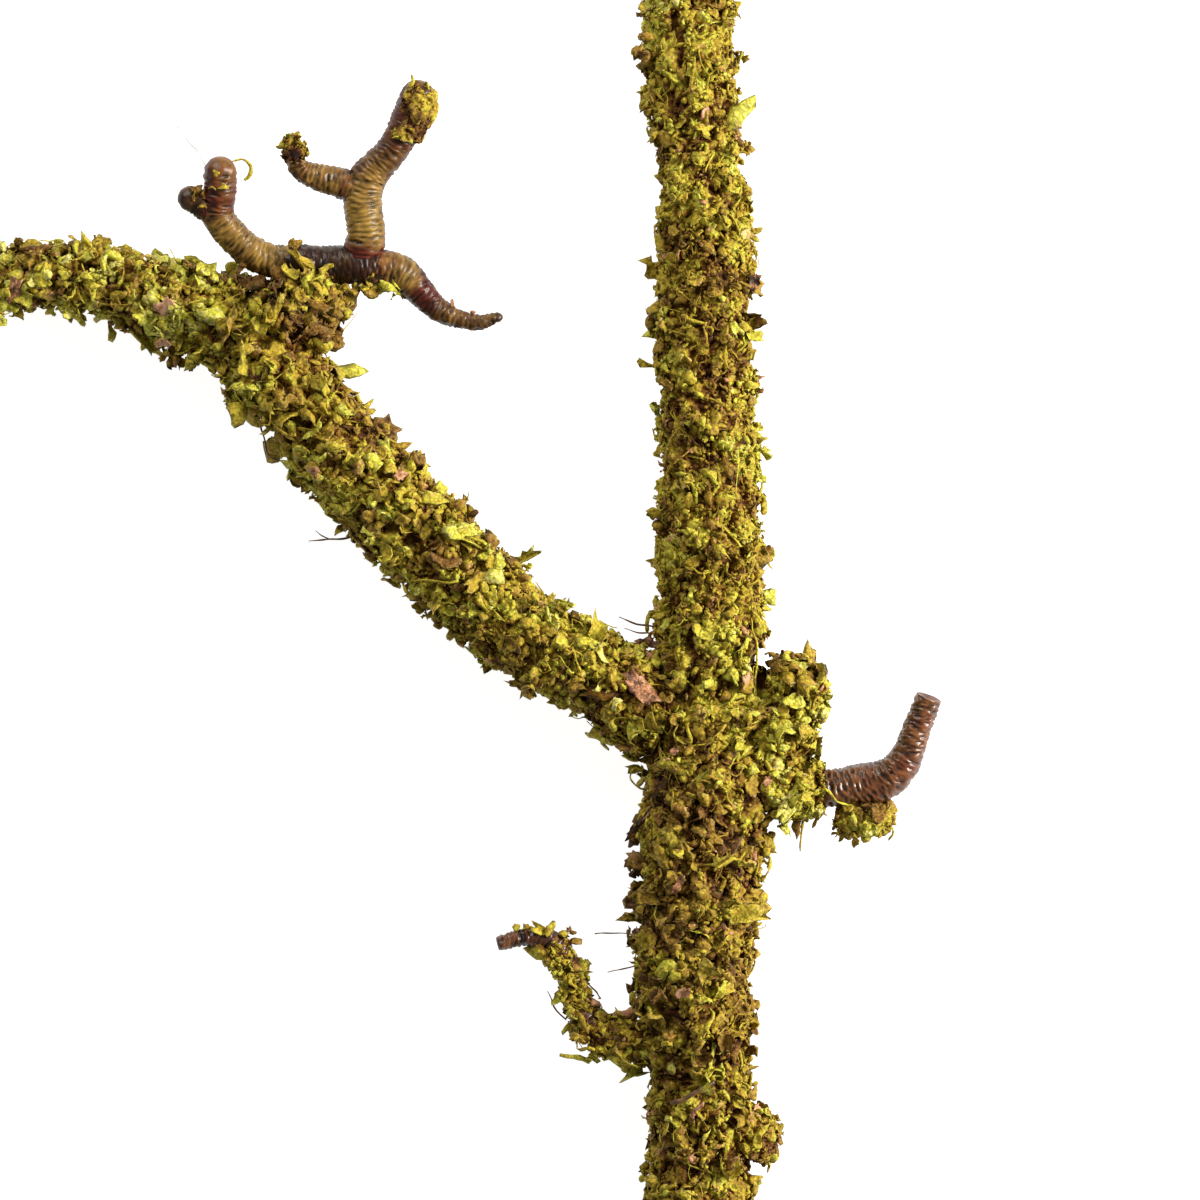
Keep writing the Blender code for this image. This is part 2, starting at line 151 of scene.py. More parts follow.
TAIL = (
    (-29.5, 41.6, 8.6, 2.4),
    (-27.0, 41.4, 8.4, 2.35),
    (-24.5, 40.6, 8.1, 2.1),
    (-22.4, 38.6, 7.8, 1.8),
    (-20.5, 36.6, 7.5, 1.5),
    (-18.0, 35.2, 7.2, 1.25),
    (-15.4, 34.7, 7.0, 1.1),
    (-12.9, 35.3, 6.9, 0.8),
)
RIGHT_SPUR = (
    (14.0, -21.6, 8.7, 2.3),
    (20.0, -22.6, 8.8, 2.3),
    (25.0, -23.3, 9.0, 2.3),
    (29.0, -23.4, 9.4, 2.4),
    (33.0, -22.9, 9.8, 2.5),
    (36.2, -21.7, 10.3, 2.5),
    (38.2, -18.9, 10.9, 1.9),
    (39.3, -15.8, 11.6, 1.7),
    (40.7, -12.0, 12.4, 1.65),
)
BUD = ((14.0, -19.0, 8.7, 2.8), (19.6, -17.6, 9.3, 3.0), (23.4, -14.2, 9.8, 3.4), (25.0, -10.6, 10.1, 3.3))
HOOK = (
    (13.0, -55.8, 7.6, 1.9),
    (7.5, -55.5, 7.6, 1.9),
    (2.6, -54.9, 7.8, 1.8),
    (-0.8, -53.4, 8.1, 1.7),
    (-2.6, -50.6, 8.5, 1.6),
    (-3.5, -47.2, 8.9, 1.55),
    (-4.6, -44.2, 9.3, 1.5),
    (-6.6, -42.3, 9.6, 1.35),
    (-9.2, -41.9, 9.9, 1.2),
    (-12.3, -42.6, 10.1, 1.0),
)
LOW_STUB = ((12.6, -66.2, 6.8, 2.2), (16.0, -66.8, 7.3, 2.2), (18.6, -67.2, 7.6, 1.9))
STEM_TOP = (11.6, 81.5)   # plan place of the stem's upper cut, the last station of its solid

# Places where the crust swells out or, below 0, sinks in: plan x, y, z, reach and rise.
SWELLS = (
    (19.6, -7.5, 10.0, 2.6, -1.6),
    (27.4, -8.0, 10.0, 2.4, -1.6),
    (4.0, 71.5, 8.5, 2.5, 0.6),
    (4.0, 66.0, 8.5, 2.5, 0.6),
    (4.0, -37.0, 8.0, 2.5, 0.5),
    (-49.0, 31.0, 7.5, 3.0, 0.6),
    (-38.0, 55.0, 12.0, 2.5, -0.9),
)

# Tip shapes: how far each closing ring lies ahead of the last station, and how wide it is, in radii.
DOME = tuple((math.sin(a), math.cos(a)) for a in np.radians((18, 36, 54, 70, 82)))
CUT = ((0.0, 0.97), (-0.04, 0.84), (-0.16, 0.58), (-0.24, 0.3), (-0.26, 0.08))
BLUNT = ((0.22, 0.97), (0.42, 0.86), (0.52, 0.68), (0.5, 0.42), (0.44, 0.15))


def linear(code):
    """A six-digit sRGB colour as linear red, green and blue."""
    shades = [int(code[i:i + 2], 16) / 255 for i in (0, 2, 4)]
    return [s / 12.92 if s <= 0.04045 else ((s + 0.055) / 1.055) ** 2.4 for s in shades]


# ---------------------------------------------------------------- settings


def length(name, about, default):
    return bpy.props.FloatProperty(
        name=name, description=about, default=default, unit="LENGTH", precision=5
    )


def amount(name, about, default, top=100.0):
    return bpy.props.FloatProperty(name=name, description=about, default=default, min=0.0, max=top)


def colour(name, about, code):
    return bpy.props.FloatVectorProperty(
        name=name, description=about, default=linear(code), subtype="COLOR", size=3, min=0, max=1
    )


class CrustSettings(bpy.types.PropertyGroup):
    """Sizes, counts and colours of the lichen crust."""

    bed_depth: length("Bed Depth", "How far the bed lies under the crust's outline", 0.75 * MM)
    bed_grain: length("Bed Grain", "Facet size of the bed", 0.36 * MM)
    plate: length("Plate", "Usual length of a plate of the bed", 0.95 * MM)
    crumb: length("Crumb", "Usual length of a crumb", 0.58 * MM)
    scale: length("Scale", "Usual length of a small flake", 1.2 * MM)
    lobe: length("Lobe", "Usual length of a lobed flake", 2.0 * MM)
    curl: length("Curl", "Usual length of a large curled flake", 2.6 * MM)
    shred: length("Shred", "Usual length of a torn strip", 1.8 * MM)
    strand: length("Strand", "Usual length of a strand", 2.6 * MM)
    crumbs: amount("Crumbs", "Crumbs on a square millimetre", 1.9)
    scales: amount("Scales", "Small flakes on a square millimetre", 0.62)
    lobes: amount("Lobes", "Lobed flakes on a square millimetre", 0.26)
    curls: amount("Curls", "Large curled flakes on a square millimetre", 0.04)
    tufts: amount("Tufts", "Tufts of flakes on a square millimetre", 0.014)
    shreds: amount("Shreds", "Torn strips on a square millimetre", 0.09)
    strands: amount("Strands", "Strands on a square millimetre", 0.025)
    dark: colour("Old Lichen", "Colour of old, shaded flakes", "452a11")
    olive: colour("Olive Lichen", "Colour of dull flakes", "7a5722")
    green: colour("Lichen", "Colour of most flakes", "ab922a")
    bright: colour("Young Lichen", "Colour of the freshest flakes", "bcbb3e")
    pale: colour("Bleached Lichen", "Colour of the palest flakes", "dccb86")
    tan: colour("Dead Lichen", "Colour of flakes that have died", "b5835c")


class BarkSettings(bpy.types.PropertyGroup):
    """Sizes and colours of the spurs and the wood."""

    ring_pitch: length("Ring Pitch", "Distance between the rings on a spur", 0.62 * MM)
    ring_height: length("Ring Height", "How far a ring stands out", 0.16 * MM)
    facet: length("Facet", "Distance between two rows of a spur's mesh", 0.12 * MM)
    red: colour("Red Bark", "Colour of the bark at the joints of the crown", "5c2014")
    olive: colour("Olive Bark", "Colour of the young bark between the joints", "a07e38")
    brown: colour("Brown Bark", "Colour of the older bark", "744826")
    old: colour("Old Bark", "Colour of the oldest, darkest bark", "2b1508")
    heartwood: colour("Heartwood", "Colour of the cut wood's middle", "8d6a45")
    sapwood: colour("Sapwood", "Colour of the cut wood's rim", "c7a77c")
    chip: colour("Bark Chip", "Colour of the loose bark chips", "a9764f")


class StageSettings(bpy.types.PropertyGroup):
    """The camera, the floor and the lights."""

    view_width: length("View Width", "Width that the camera takes in at the twig", 150 * MM)
    lens: amount("Lens", "Focal length in millimetres", 135, 500)
    key: amount("Key Light", "Power of the main light in watts", 19.0)
    fill: amount("Fill Light", "Power of the weaker light in watts", 0.85)
    sky: amount("Surround", "Strength of the studio's even light", 0.25)
    glow: amount("Floor Glow", "Strength of the light that comes through the floor", 0.92)
    floor: colour("Floor", "Colour of the floor", "adadad")


# ---------------------------------------------------------------- meshes


def make_piece(name, places, triangles, material_slots, marks=None):
    """A smooth mesh that rides on the twig's one body. marks are named numbers for each vertex."""
    mesh = bpy.data.meshes.new(name)
    mesh.from_pydata(places, [], triangles)
    for material in material_slots:
        mesh.materials.append(material)
    mesh.polygons.foreach_set("use_smooth", np.ones(len(triangles), bool))
    for mark, values in (marks or {}).items():
        layer = mesh.attributes.new(mark, "FLOAT", "POINT")
        layer.data.foreach_set("value", np.asarray(values, np.float32))
    mesh.update()
    piece = bpy.data.objects.new(name, mesh)
    bpy.context.scene.collection.objects.link(piece)
    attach(piece, "root")
    return piece


def unit(vectors):
    return vectors / np.linalg.norm(vectors, axis=-1, keepdims=True)


def ripple(places, span, seed):
    """Smooth noise of about -1 to 1 that changes over span, a sum of waves in random directions."""
    rng = np.random.default_rng(seed)
    waves = unit(rng.normal(size=(9, 3))) * rng.uniform(0.6, 1.5, (9, 1)) * 2 * math.pi / (span * 2.2)
    shifts = rng.uniform(0, 2 * math.pi, 9)
    return np.sin(places @ waves.T + shifts).sum(-1) / 4.5


def press(places):
    """Presses what would reach below the table's surface softly down on to it."""
    soft = 0.5 * MM
    low = places[..., 2] < soft
    places[..., 2][low] = soft * np.exp((places[..., 2][low] - soft) / soft)
    return places


def plan_shift():
    """How far the plan's middle lies from the frame's, in millimetres: both know the stem's upper cut."""
    low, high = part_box("stem_upper")
    places = np.array([v.co for v in NODES["stem_upper"].data.vertices]) / MM
    ring = places[places[:, 1] > high.y / MM - 0.8]
    middle = (ring.min(0) + ring.max(0)) / 2
    return middle[:2] - STEM_TOP


PLAN_SHIFT = plan_shift()


def corners_of(mesh):
    """A mesh's triangles as an array of corner places."""
    mesh.calc_loop_triangles()
    places = np.empty(len(mesh.vertices) * 3)
    mesh.vertices.foreach_get("co", places)
    picks = np.empty(len(mesh.loop_triangles) * 3, np.int32)
    mesh.loop_triangles.foreach_get("vertices", picks)
    return places.reshape(-1, 3)[picks].reshape(-1, 3, 3)


def search_tree(corners):
    """A tree that finds the nearest of some triangles, given as corner places."""
    picks = np.arange(len(corners) * 3).reshape(-1, 3)
    return BVHTree.FromPolygons(corners.reshape(-1, 3).tolist(), picks.tolist())


SOLIDS = search_tree(np.concatenate([corners_of(obj.data) for obj in NODES.values()]))
DEEPEST = 1.8 * MM     # how far the bed may sink before it would lay the wood bare
HIGHEST = 0.5 * MM     # how far the bed may rise past the solid's surface
TWIG_WIDTH = 14 * MM   # the crusted stem's, round which strands bend
OVERLAP = 0.4 * MM     # how far one stretch of the bed runs on into the next
SEAM = 0.9 * MM        # a face with another solid this close in front of it is a seam, not outer skin
SLIVER = 1e-6 * MM**2  # a face no larger than this has no direction of its own
LUMP_TOP = 0.4         # millimetres above which lumps level off
BARE_BELOW = 0.88      # share of the scattered things left out where the skin faces the table
LIVE_AGE = 0.88        # the freshest age that a live flake or strand may have
DEAD_AGE = 0.9         # ages from here up mark dead, tan flakes


def faces_outside(centres, normals):
    """Which faces have open air in front of them."""
    start = centres + normals * 0.02 * MM
    hits = [SOLIDS.ray_cast(Vector(c), Vector(n), SEAM)[0] for c, n in zip(start, normals)]
    return np.array([hit is None for hit in hits])


class Skin:
    """The outer faces of one lichen solid, to scatter things on."""

    def __init__(self, name):
        corners = corners_of(NODES[name].data)
        across = np.cross(corners[:, 1] - corners[:, 0], corners[:, 2] - corners[:, 0])
        areas = np.linalg.norm(across, axis=1) / 2
        fair = areas > SLIVER
        corners, across, areas = corners[fair], across[fair], areas[fair]
        normals = unit(across)
        outside = faces_outside(corners.mean(1), normals)
        self.corners = corners[outside]
        self.normals = normals[outside]
        self.areas = areas[outside]
        self.area = self.areas.sum() / MM**2
        self.thin = THINNESS.get(name, 1.0)
        self.freshness_and_light = FRESHNESS_AND_PAINTED_LIGHT.get(name, 0.0)
        self.top = CLUMP_TOP if name == "lichen_clump" else math.inf

    def scatter(self, rng, density):
        """Random places on the skin, with the normal at each. Fewer lie underneath."""
        count = int(self.area * density)
        picks = rng.choice(len(self.areas), count, p=self.areas / self.areas.sum())
        a, b = rng.random((2, count, 1))
        turned = a + b > 1
        a, b = np.where(turned, 1 - a, a), np.where(turned, 1 - b, b)
        first, second, third = self.corners[picks].transpose(1, 0, 2)
        places = first + (second - first) * a + (third - first) * b
        normals = self.normals[picks]
        kept = rng.random(count) > np.clip(-normals[:, 2] * 2, 0, BARE_BELOW)
        kept &= places[:, 1] / MM - PLAN_SHIFT[1] < self.top
        return places[kept], normals[kept]


def lumps(places):
    """How far the crust swells out in clumps or sinks in between them at a place."""
    broad = 0.9 * (np.abs(ripple(places, 6.5 * MM, 5)) - 0.36)
    clump = 1.35 * (np.abs(ripple(places, 2.6 * MM, 1)) - 0.36)
    rise = broad + clump + 0.22 * ripple(places, 1.1 * MM, 2)
    for x, y, z, reach, swell in SWELLS:
        middle = np.array((x + PLAN_SHIFT[0], y + PLAN_SHIFT[1], z)) * MM
        rise = rise + swell * np.exp(-((places - middle) ** 2).sum(-1) / (reach * MM) ** 2)
    high = rise > LUMP_TOP
    rise[high] = LUMP_TOP + LUMP_TOP * np.tanh((rise[high] - LUMP_TOP) / LUMP_TOP)
    return MM * rise


def steady(cells, seed):
    """Three numbers of 0 to 1 for each whole-numbered cell, always the same ones for the same cell."""
    mixed = (cells * np.array([73856093, 19349663, 83492791])).sum(-1)[..., None]
    mixed = (mixed + np.array([1, 2, 3]) * 7919 + seed * 104729) & 0xFFFFFFFF
    for factor in (1274126177, 2246822519):
        mixed = ((mixed ^ (mixed >> 15)) * factor) & 0xFFFFFFFF
    return ((mixed >> 8) & 0xFFFF) / 65535


def plates(places, span, seed):
    """Splits space into cells of a span, each a tilted plate: height of about -1 to 1 at each place,
    nearness of the next cell, from 0 at the crack between them, and a tone of 0 to 1 for the cell."""
    scaled = crumpled(places, 0.25 * span, span) / span
    base = np.floor(scaled).astype(np.int64)
    near, second = np.full((2, len(places)), 9.0)
    owner, offset = np.zeros_like(base), np.zeros_like(scaled)
    for step in itertools.product((-1, 0, 1), repeat=3):
        cell = base + step
        away = scaled - cell - 0.1 - 0.8 * steady(cell, seed)
        gap = np.linalg.norm(away, axis=1)
        closer = gap < near
        second = np.where(closer, near, np.minimum(second, gap))
        near = np.where(closer, gap, near)
        owner[closer], offset[closer] = cell[closer], away[closer]
    slope, other = steady(owner, seed + 9) * 2 - 1, steady(owner, seed + 5)
    height = (offset * slope).sum(1) * 1.5 + (other[:, 0] - 0.5) * 0.9
    return height, second - near, other[:, 1]


def ages(places):
    """How fresh the lichen is at a place: 0 old and dark, near 0.9 young and pale; it is also paler where
    the crust swells out in clumps and darker where it sinks between them.
    """
    patches = 0.15 * ripple(places, 2.4 * MM, 21) + 0.1 * ripple(places, 9 * MM, 22)
    return 0.46 + patches + 0.16 * lumps(places) / MM


def crumpled(places, depth, span):
    """Places pushed about by noise, as dry leaves crumple."""
    push = [ripple(places, span, seed) for seed in (31, 32, 33)]
    return places + np.stack(push, -1) * depth


# ---------------------------------------------------------------- flakes


def disc(spokes, front_rings, back_rings=()):
    """A closed thin disc: distance from its middle, angle and side of each vertex, and triangles."""
    rho, theta, side = [0.0], [0.0], [1.0]
    turns = [2 * math.pi * i / spokes for i in range(spokes)]
    for rings, face in (((*front_rings, 1.0), 1), (back_rings, -1)):
        for ring in rings:
            rho += [ring] * spokes
            theta += turns
            side += [0.0 if ring == 1.0 else face] * spokes
    rho.append(0.0)
    theta.append(0.0)
    side.append(-1.0)
    front = [1 + i * spokes for i in range(len(front_rings) + 1)]
    back = [front[-1] + (i + 1) * spokes for i in range(len(back_rings))] + [front[-1]]
    triangles = []
    for starts, middle, flip in ((front, 0, False), (back, len(rho) - 1, True)):
        for i in range(spokes):
            j = (i + 1) % spokes
            fan = [(middle, starts[0] + i, starts[0] + j)]
            for inner, outer in zip(starts, starts[1:]):
                fan.append((inner + i, outer + i, outer + j))
                fan.append((inner + i, outer + j, inner + j))
            triangles += [t[::-1] for t in fan] if flip else fan
    return np.array(rho), np.array(theta), np.array(side), np.array(triangles)


CRUMB_DISC = disc(5, ())
SCALE_DISC = disc(8, (0.6,))
LOBE_DISC = disc(13, (0.6,), (0.6,))
CURL_DISC = disc(18, (0.4, 0.75), (0.7,))
CHIP_DISC = disc(22, (0.35, 0.7), (0.6,))


def frames(rng, normals, tilt, roll):
    """Three axes for each flake: along it, rising from the skin by tilt, across it, and its normal."""
    aside = unit(np.cross(normals, rng.normal(size=normals.shape)))
    tilt, roll = tilt[:, None], roll[:, None]
    along = aside * np.cos(tilt) + normals * np.sin(tilt)
    face = normals * np.cos(tilt) - aside * np.sin(tilt)
    across = np.cross(face, along)
    turned = face * np.cos(roll) + across * np.sin(roll)
    return along, np.cross(turned, along), turned


def shape_flakes(rng, template, places, normals, size, look, chosen=None):
    """Lobed, ragged, cupped and curled flakes rooted at places. look holds the ranges of their shapes,
    and chosen holds what is set for each flake instead: long, wide, age or along."""
    chosen = chosen or {}
    rho, theta, side, triangles = template
    count = len(places)
    long = chosen.get("long", size * np.minimum(rng.lognormal(0, look["spread"], count), 1.4))
    wide = chosen.get("wide", long * rng.uniform(*look["width"], count))
    turns, spoke = np.unique(theta, return_inverse=True)
    harmonics = np.arange(2, len(turns) // 2 + 1)
    lobes = rng.normal(0, look["lobing"], (count, len(harmonics))) / np.sqrt(harmonics)
    phases = rng.uniform(0, 2 * math.pi, (count, len(harmonics)))
    waves = np.cos(theta[None, :, None] * harmonics + phases[:, None, :])
    notch = np.abs(rng.normal(0, look["ragged"], (count, len(turns))))[:, spoke] * rho**3
    outline = np.clip(1 + (lobes[:, None, :] * waves).sum(2), 0.6, 1.3) * np.clip(1 - notch, 0.45, 1)
    ahead = np.sign(np.cos(theta)) * np.abs(np.cos(theta)) ** 0.9
    beside = np.sign(np.sin(theta)) * np.abs(np.sin(theta)) ** 0.9
    x = rho * outline * ahead * long[:, None] / 2
    y = rho * outline * beside * wide[:, None] / 2
    cup = rng.uniform(*look["cup"], count)[:, None]
    crinkle = rng.normal(0, look["crinkle"], (count, len(rho))) * rho * long[:, None]
    thick = look["thickness"] * long[:, None] * (1 - 0.6 * rho**2)
    ruffles = rng.normal(0, look["ruffle"], (count, 1)) * long[:, None] * rho**2
    ruffles = ruffles * np.cos(theta * rng.integers(2, 5, (count, 1)) + rng.uniform(0, 6.3, (count, 1)))
    z = cup * (rho * outline) ** 2 * wide[:, None] / 2 + crinkle + ruffles + side * thick / 2
    bend = rng.uniform(*look["bend"], count)
    bend = np.where(np.abs(bend) < 0.05, 0.05, bend)[:, None]
    radius = long[:, None] / 2 / bend
    angle = x / radius
    curled = np.sin(angle) * (radius - z)
    height = radius - np.cos(angle) * (radius - z)
    tilt = np.abs(rng.normal(look["tilt"][0], look["tilt"][1], count))
    roll = rng.normal(0, look["roll"], count)
    along, across, face = frames(rng, normals, tilt, roll)
    if "along" in chosen:
        along = unit(chosen["along"])
        across = unit(np.cross(face, along))
        face = np.cross(along, across)
    lift = rng.uniform(*look["lift"], count) * MM + lumps(places)
    centres = places + normals * lift[:, None] + along * (long * look["reach"])[:, None]
    shaped = (
        centres[:, None, :]
        + along[:, None, :] * curled[..., None]
        + across[:, None, :] * y[..., None]
        + face[:, None, :] * height[..., None]
    )
    shaped = crumpled(shaped, look["crumple"] * MM, 0.9 * MM)
    faces = triangles[None] + (np.arange(count) * len(rho))[:, None, None]
    age = np.clip(ages(places) + rng.normal(0, 0.12, count), 0, LIVE_AGE)
    age = np.where(rng.random(count) < look["dead"], rng.uniform(DEAD_AGE, 1, count), age)
    age = chosen.get("age", age)
    # Painted shade: the depth mark is lower for the parts of a flake that lie lower over its root, and
    # those are drawn darker.
    up = np.einsum("cvi,ci->cv", shaped - places[:, None, :], normals)
    depth = np.clip(1.15 + up / (1.3 * MM), 0, 1)
    marks = {
        "age": np.repeat(age, len(rho)),
        "depth": depth.ravel(),
        "rim": np.tile(rho, count),
    }
    return shaped.reshape(-1, 3), faces.reshape(-1, 3), marks


CRUMB = {
    "spread": 0.36, "width": (0.5, 1.0), "lobing": 0.1, "ragged": 0.1, "cup": (-0.9, 0.6),
    "ruffle": 0.06, "crinkle": 0.08, "crumple": 0.06, "thickness": 0.3, "bend": (-1.4, 0.9),
    "tilt": (0.25, 0.45), "roll": 0.7, "lift": (-0.95, -0.3), "reach": 0.08, "dead": 0.03,
}
SCALE = {
    "spread": 0.34, "width": (0.45, 1.0), "lobing": 0.1, "ragged": 0.12, "cup": (-1.6, 0.6),
    "ruffle": 0.09, "crinkle": 0.045, "crumple": 0.12, "thickness": 0.13, "bend": (-2.0, 1.1),
    "tilt": (0.22, 0.38), "roll": 0.6, "lift": (-0.85, -0.2), "reach": 0.12, "dead": 0.03,
}
LOBE = {
    "spread": 0.32, "width": (0.45, 1.0), "lobing": 0.13, "ragged": 0.11, "cup": (-1.8, 0.8),
    "ruffle": 0.13, "crinkle": 0.02, "crumple": 0.2, "thickness": 0.11, "bend": (-2.1, 1.3),
    "tilt": (0.3, 0.42), "roll": 0.65, "lift": (-0.75, 0.0), "reach": 0.18, "dead": 0.015,
}
CURL = {
    "spread": 0.26, "width": (0.45, 0.95), "lobing": 0.14, "ragged": 0.09, "cup": (-1.9, 1.2),
    "ruffle": 0.13, "crinkle": 0.015, "crumple": 0.3, "thickness": 0.08, "bend": (-2.2, 1.8),
    "tilt": (0.32, 0.4), "roll": 0.65, "lift": (-0.55, 0.15), "reach": 0.2, "dead": 0.01,
}
CHIP = {
    "spread": 0.1, "width": (0.4, 0.8), "lobing": 0.12, "ragged": 0.2, "cup": (-0.2, 0.4),
    "ruffle": 0.04, "crinkle": 0.02, "crumple": 0.3, "thickness": 0.09, "bend": (-0.5, 0.9),
    "tilt": (0.1, 0.15), "roll": 0.25, "lift": (0.1, 0.4), "reach": 0.0, "dead": 0.0,
}
# Strands are round and thin, shreds are flat torn strips: usual half width, and thickness in widths.
STRAND = {
    "spread": 0.35, "width": 0.12, "flat": 0.6, "bend": 0.9, "hug": (-0.5, -0.1), "lift": (-0.3, 0.2),
}
SHRED = {
    "spread": 0.35, "width": 0.27, "flat": 0.35, "bend": 1.0, "hug": (-0.6, -0.05), "lift": (-0.5, 0.1),
}


STRAND_SIDES = 4
STRAND_LEGS = 5


def shape_strands(rng, places, normals, size, look):
    """Thin curved stems or strips that lie on the crust and rise from it at their ends."""
    count = len(places)
    long = size * np.minimum(rng.lognormal(0, look["spread"], count), 1.6)
    tilt = np.abs(rng.normal(0.15, 0.25, count))
    along, across, face = frames(rng, normals, tilt, np.zeros(count))
    t = np.linspace(0, 1, STRAND_LEGS + 1)
    bend = rng.normal(0, look["bend"], (count, 1))
    wiggle = rng.normal(0, 0.22, (count, 1))
    sway = bend * t**2 + wiggle * np.sin(t * 2 * math.pi)
    hug = (rng.uniform(*look["hug"], (count, 1)) - long[:, None] / TWIG_WIDTH) * t**2
    lift = rng.uniform(*look["lift"], count) * MM + lumps(places)
    spine = (
        (places + normals * lift[:, None])[:, None, :]
        + along[:, None, :] * (t * long[:, None])[..., None]
        + across[:, None, :] * (sway * long[:, None])[..., None]
        + normals[:, None, :] * (hug * long[:, None])[..., None]
    )
    wide = look["width"] * MM * rng.lognormal(0, 0.35, (count, 1))
    taper = 1 - 0.4 * np.abs(2 * t - 0.95) ** 4 + rng.normal(0, 0.15, (count, len(t)))
    thick = wide * np.clip(taper, 0.2, 1.3)
    places, faces, marks = tubes(rng, spine, thick, look["flat"], STRAND_SIDES)
    return crumpled(places, 0.2 * MM, 0.9 * MM), faces, marks


def tubes(rng, spine, thick, flat, sides):
    """Closed tubes along spines of shape (count, points, 3) with a thickness for each point."""
    count, points = spine.shape[:2]
    run = unit(np.gradient(spine, axis=1))
    aside = unit(np.cross(run, unit(rng.normal(size=(count, 1, 3)))))
    other = np.cross(run, aside) * flat
    turns = 2 * np.pi * np.arange(sides) / sides
    ring = aside[..., None, :] * np.cos(turns)[:, None] + other[..., None, :] * np.sin(turns)[:, None]
    places = spine[:, :, None, :] + ring * thick[..., None, None]
    triangles = []
    for i in range(points - 1):
        for j in range(sides):
            k = (j + 1) % sides
            a, b, c, d = i * sides + j, i * sides + k, (i + 1) * sides + k, (i + 1) * sides + j
            triangles += [(a, b, c), (a, c, d)]
    last = (points - 1) * sides
    for j in range(1, sides - 1):
        triangles.append((0, j + 1, j))
        triangles.append((last, last + j, last + j + 1))
    faces = np.array(triangles)[None] + (np.arange(count) * points * sides)[:, None, None]
    each = points * sides
    marks = {
        "age": np.repeat(np.clip(ages(spine[:, 0]) + 0.1, 0, LIVE_AGE), each),
        "depth": np.full(count * each, 0.8),
        "rim": np.full(count * each, 0.7),
    }
    return places.reshape(-1, 3), faces.reshape(-1, 3), marks


def joined(batches):
    """One set of places, triangles and marks from several."""
    places, faces, marks, offset = [], [], {}, 0
    for some, triangles, named in batches:
        places.append(some)
        faces.append(triangles + offset)
        offset += len(some)
        for mark, values in named.items():
            marks.setdefault(mark, []).append(values)
    return np.concatenate(places), np.concatenate(faces), {k: np.concatenate(v) for k, v in marks.items()}


# ---------------------------------------------------------------- materials


# A math node's inputs are 0, 1 and 2. A mix node for colours takes the share at input 0 and the colours
# at 6 and 7, and gives the mixed one at this output.
COLOUR_OUT = 2


def add(tree, kind, inputs=None, stops=None, out=None, **settings):
    """Adds a shader node and gives one of its output sockets. inputs holds each input's value, or the
    socket that feeds it."""
    node = tree.nodes.new("ShaderNode" + kind)
    for name, value in settings.items():
        setattr(node, name, value)
    for name, value in (inputs or {}).items():
        if isinstance(value, bpy.types.NodeSocket):
            tree.links.new(value, node.inputs[name])
        else:
            node.inputs[name].default_value = value
    if stops:
        stops = tuple(stops)
        ramp = node.color_ramp.elements
        while len(ramp) < len(stops):
            ramp.new(0.5)
        for element, (place, shade) in zip(ramp, stops):
            element.position = place
            element.color = (*shade, 1)
    if out is None:
        out = COLOUR_OUT if kind == "Mix" else 0
    return node.outputs[out] if node.outputs else None


def new_material(name):
    """An empty material that uses nodes, its tree, and the socket for the object's places."""
    material = bpy.data.materials.new(name)
    material.use_nodes = True
    tree = material.node_tree
    tree.nodes.clear()
    return material, tree, add(tree, "TexCoord", out="Object")


def per_mm(size):
    """A noise texture's scale for features of a size in millimetres."""
    return 1 / (size * MM)


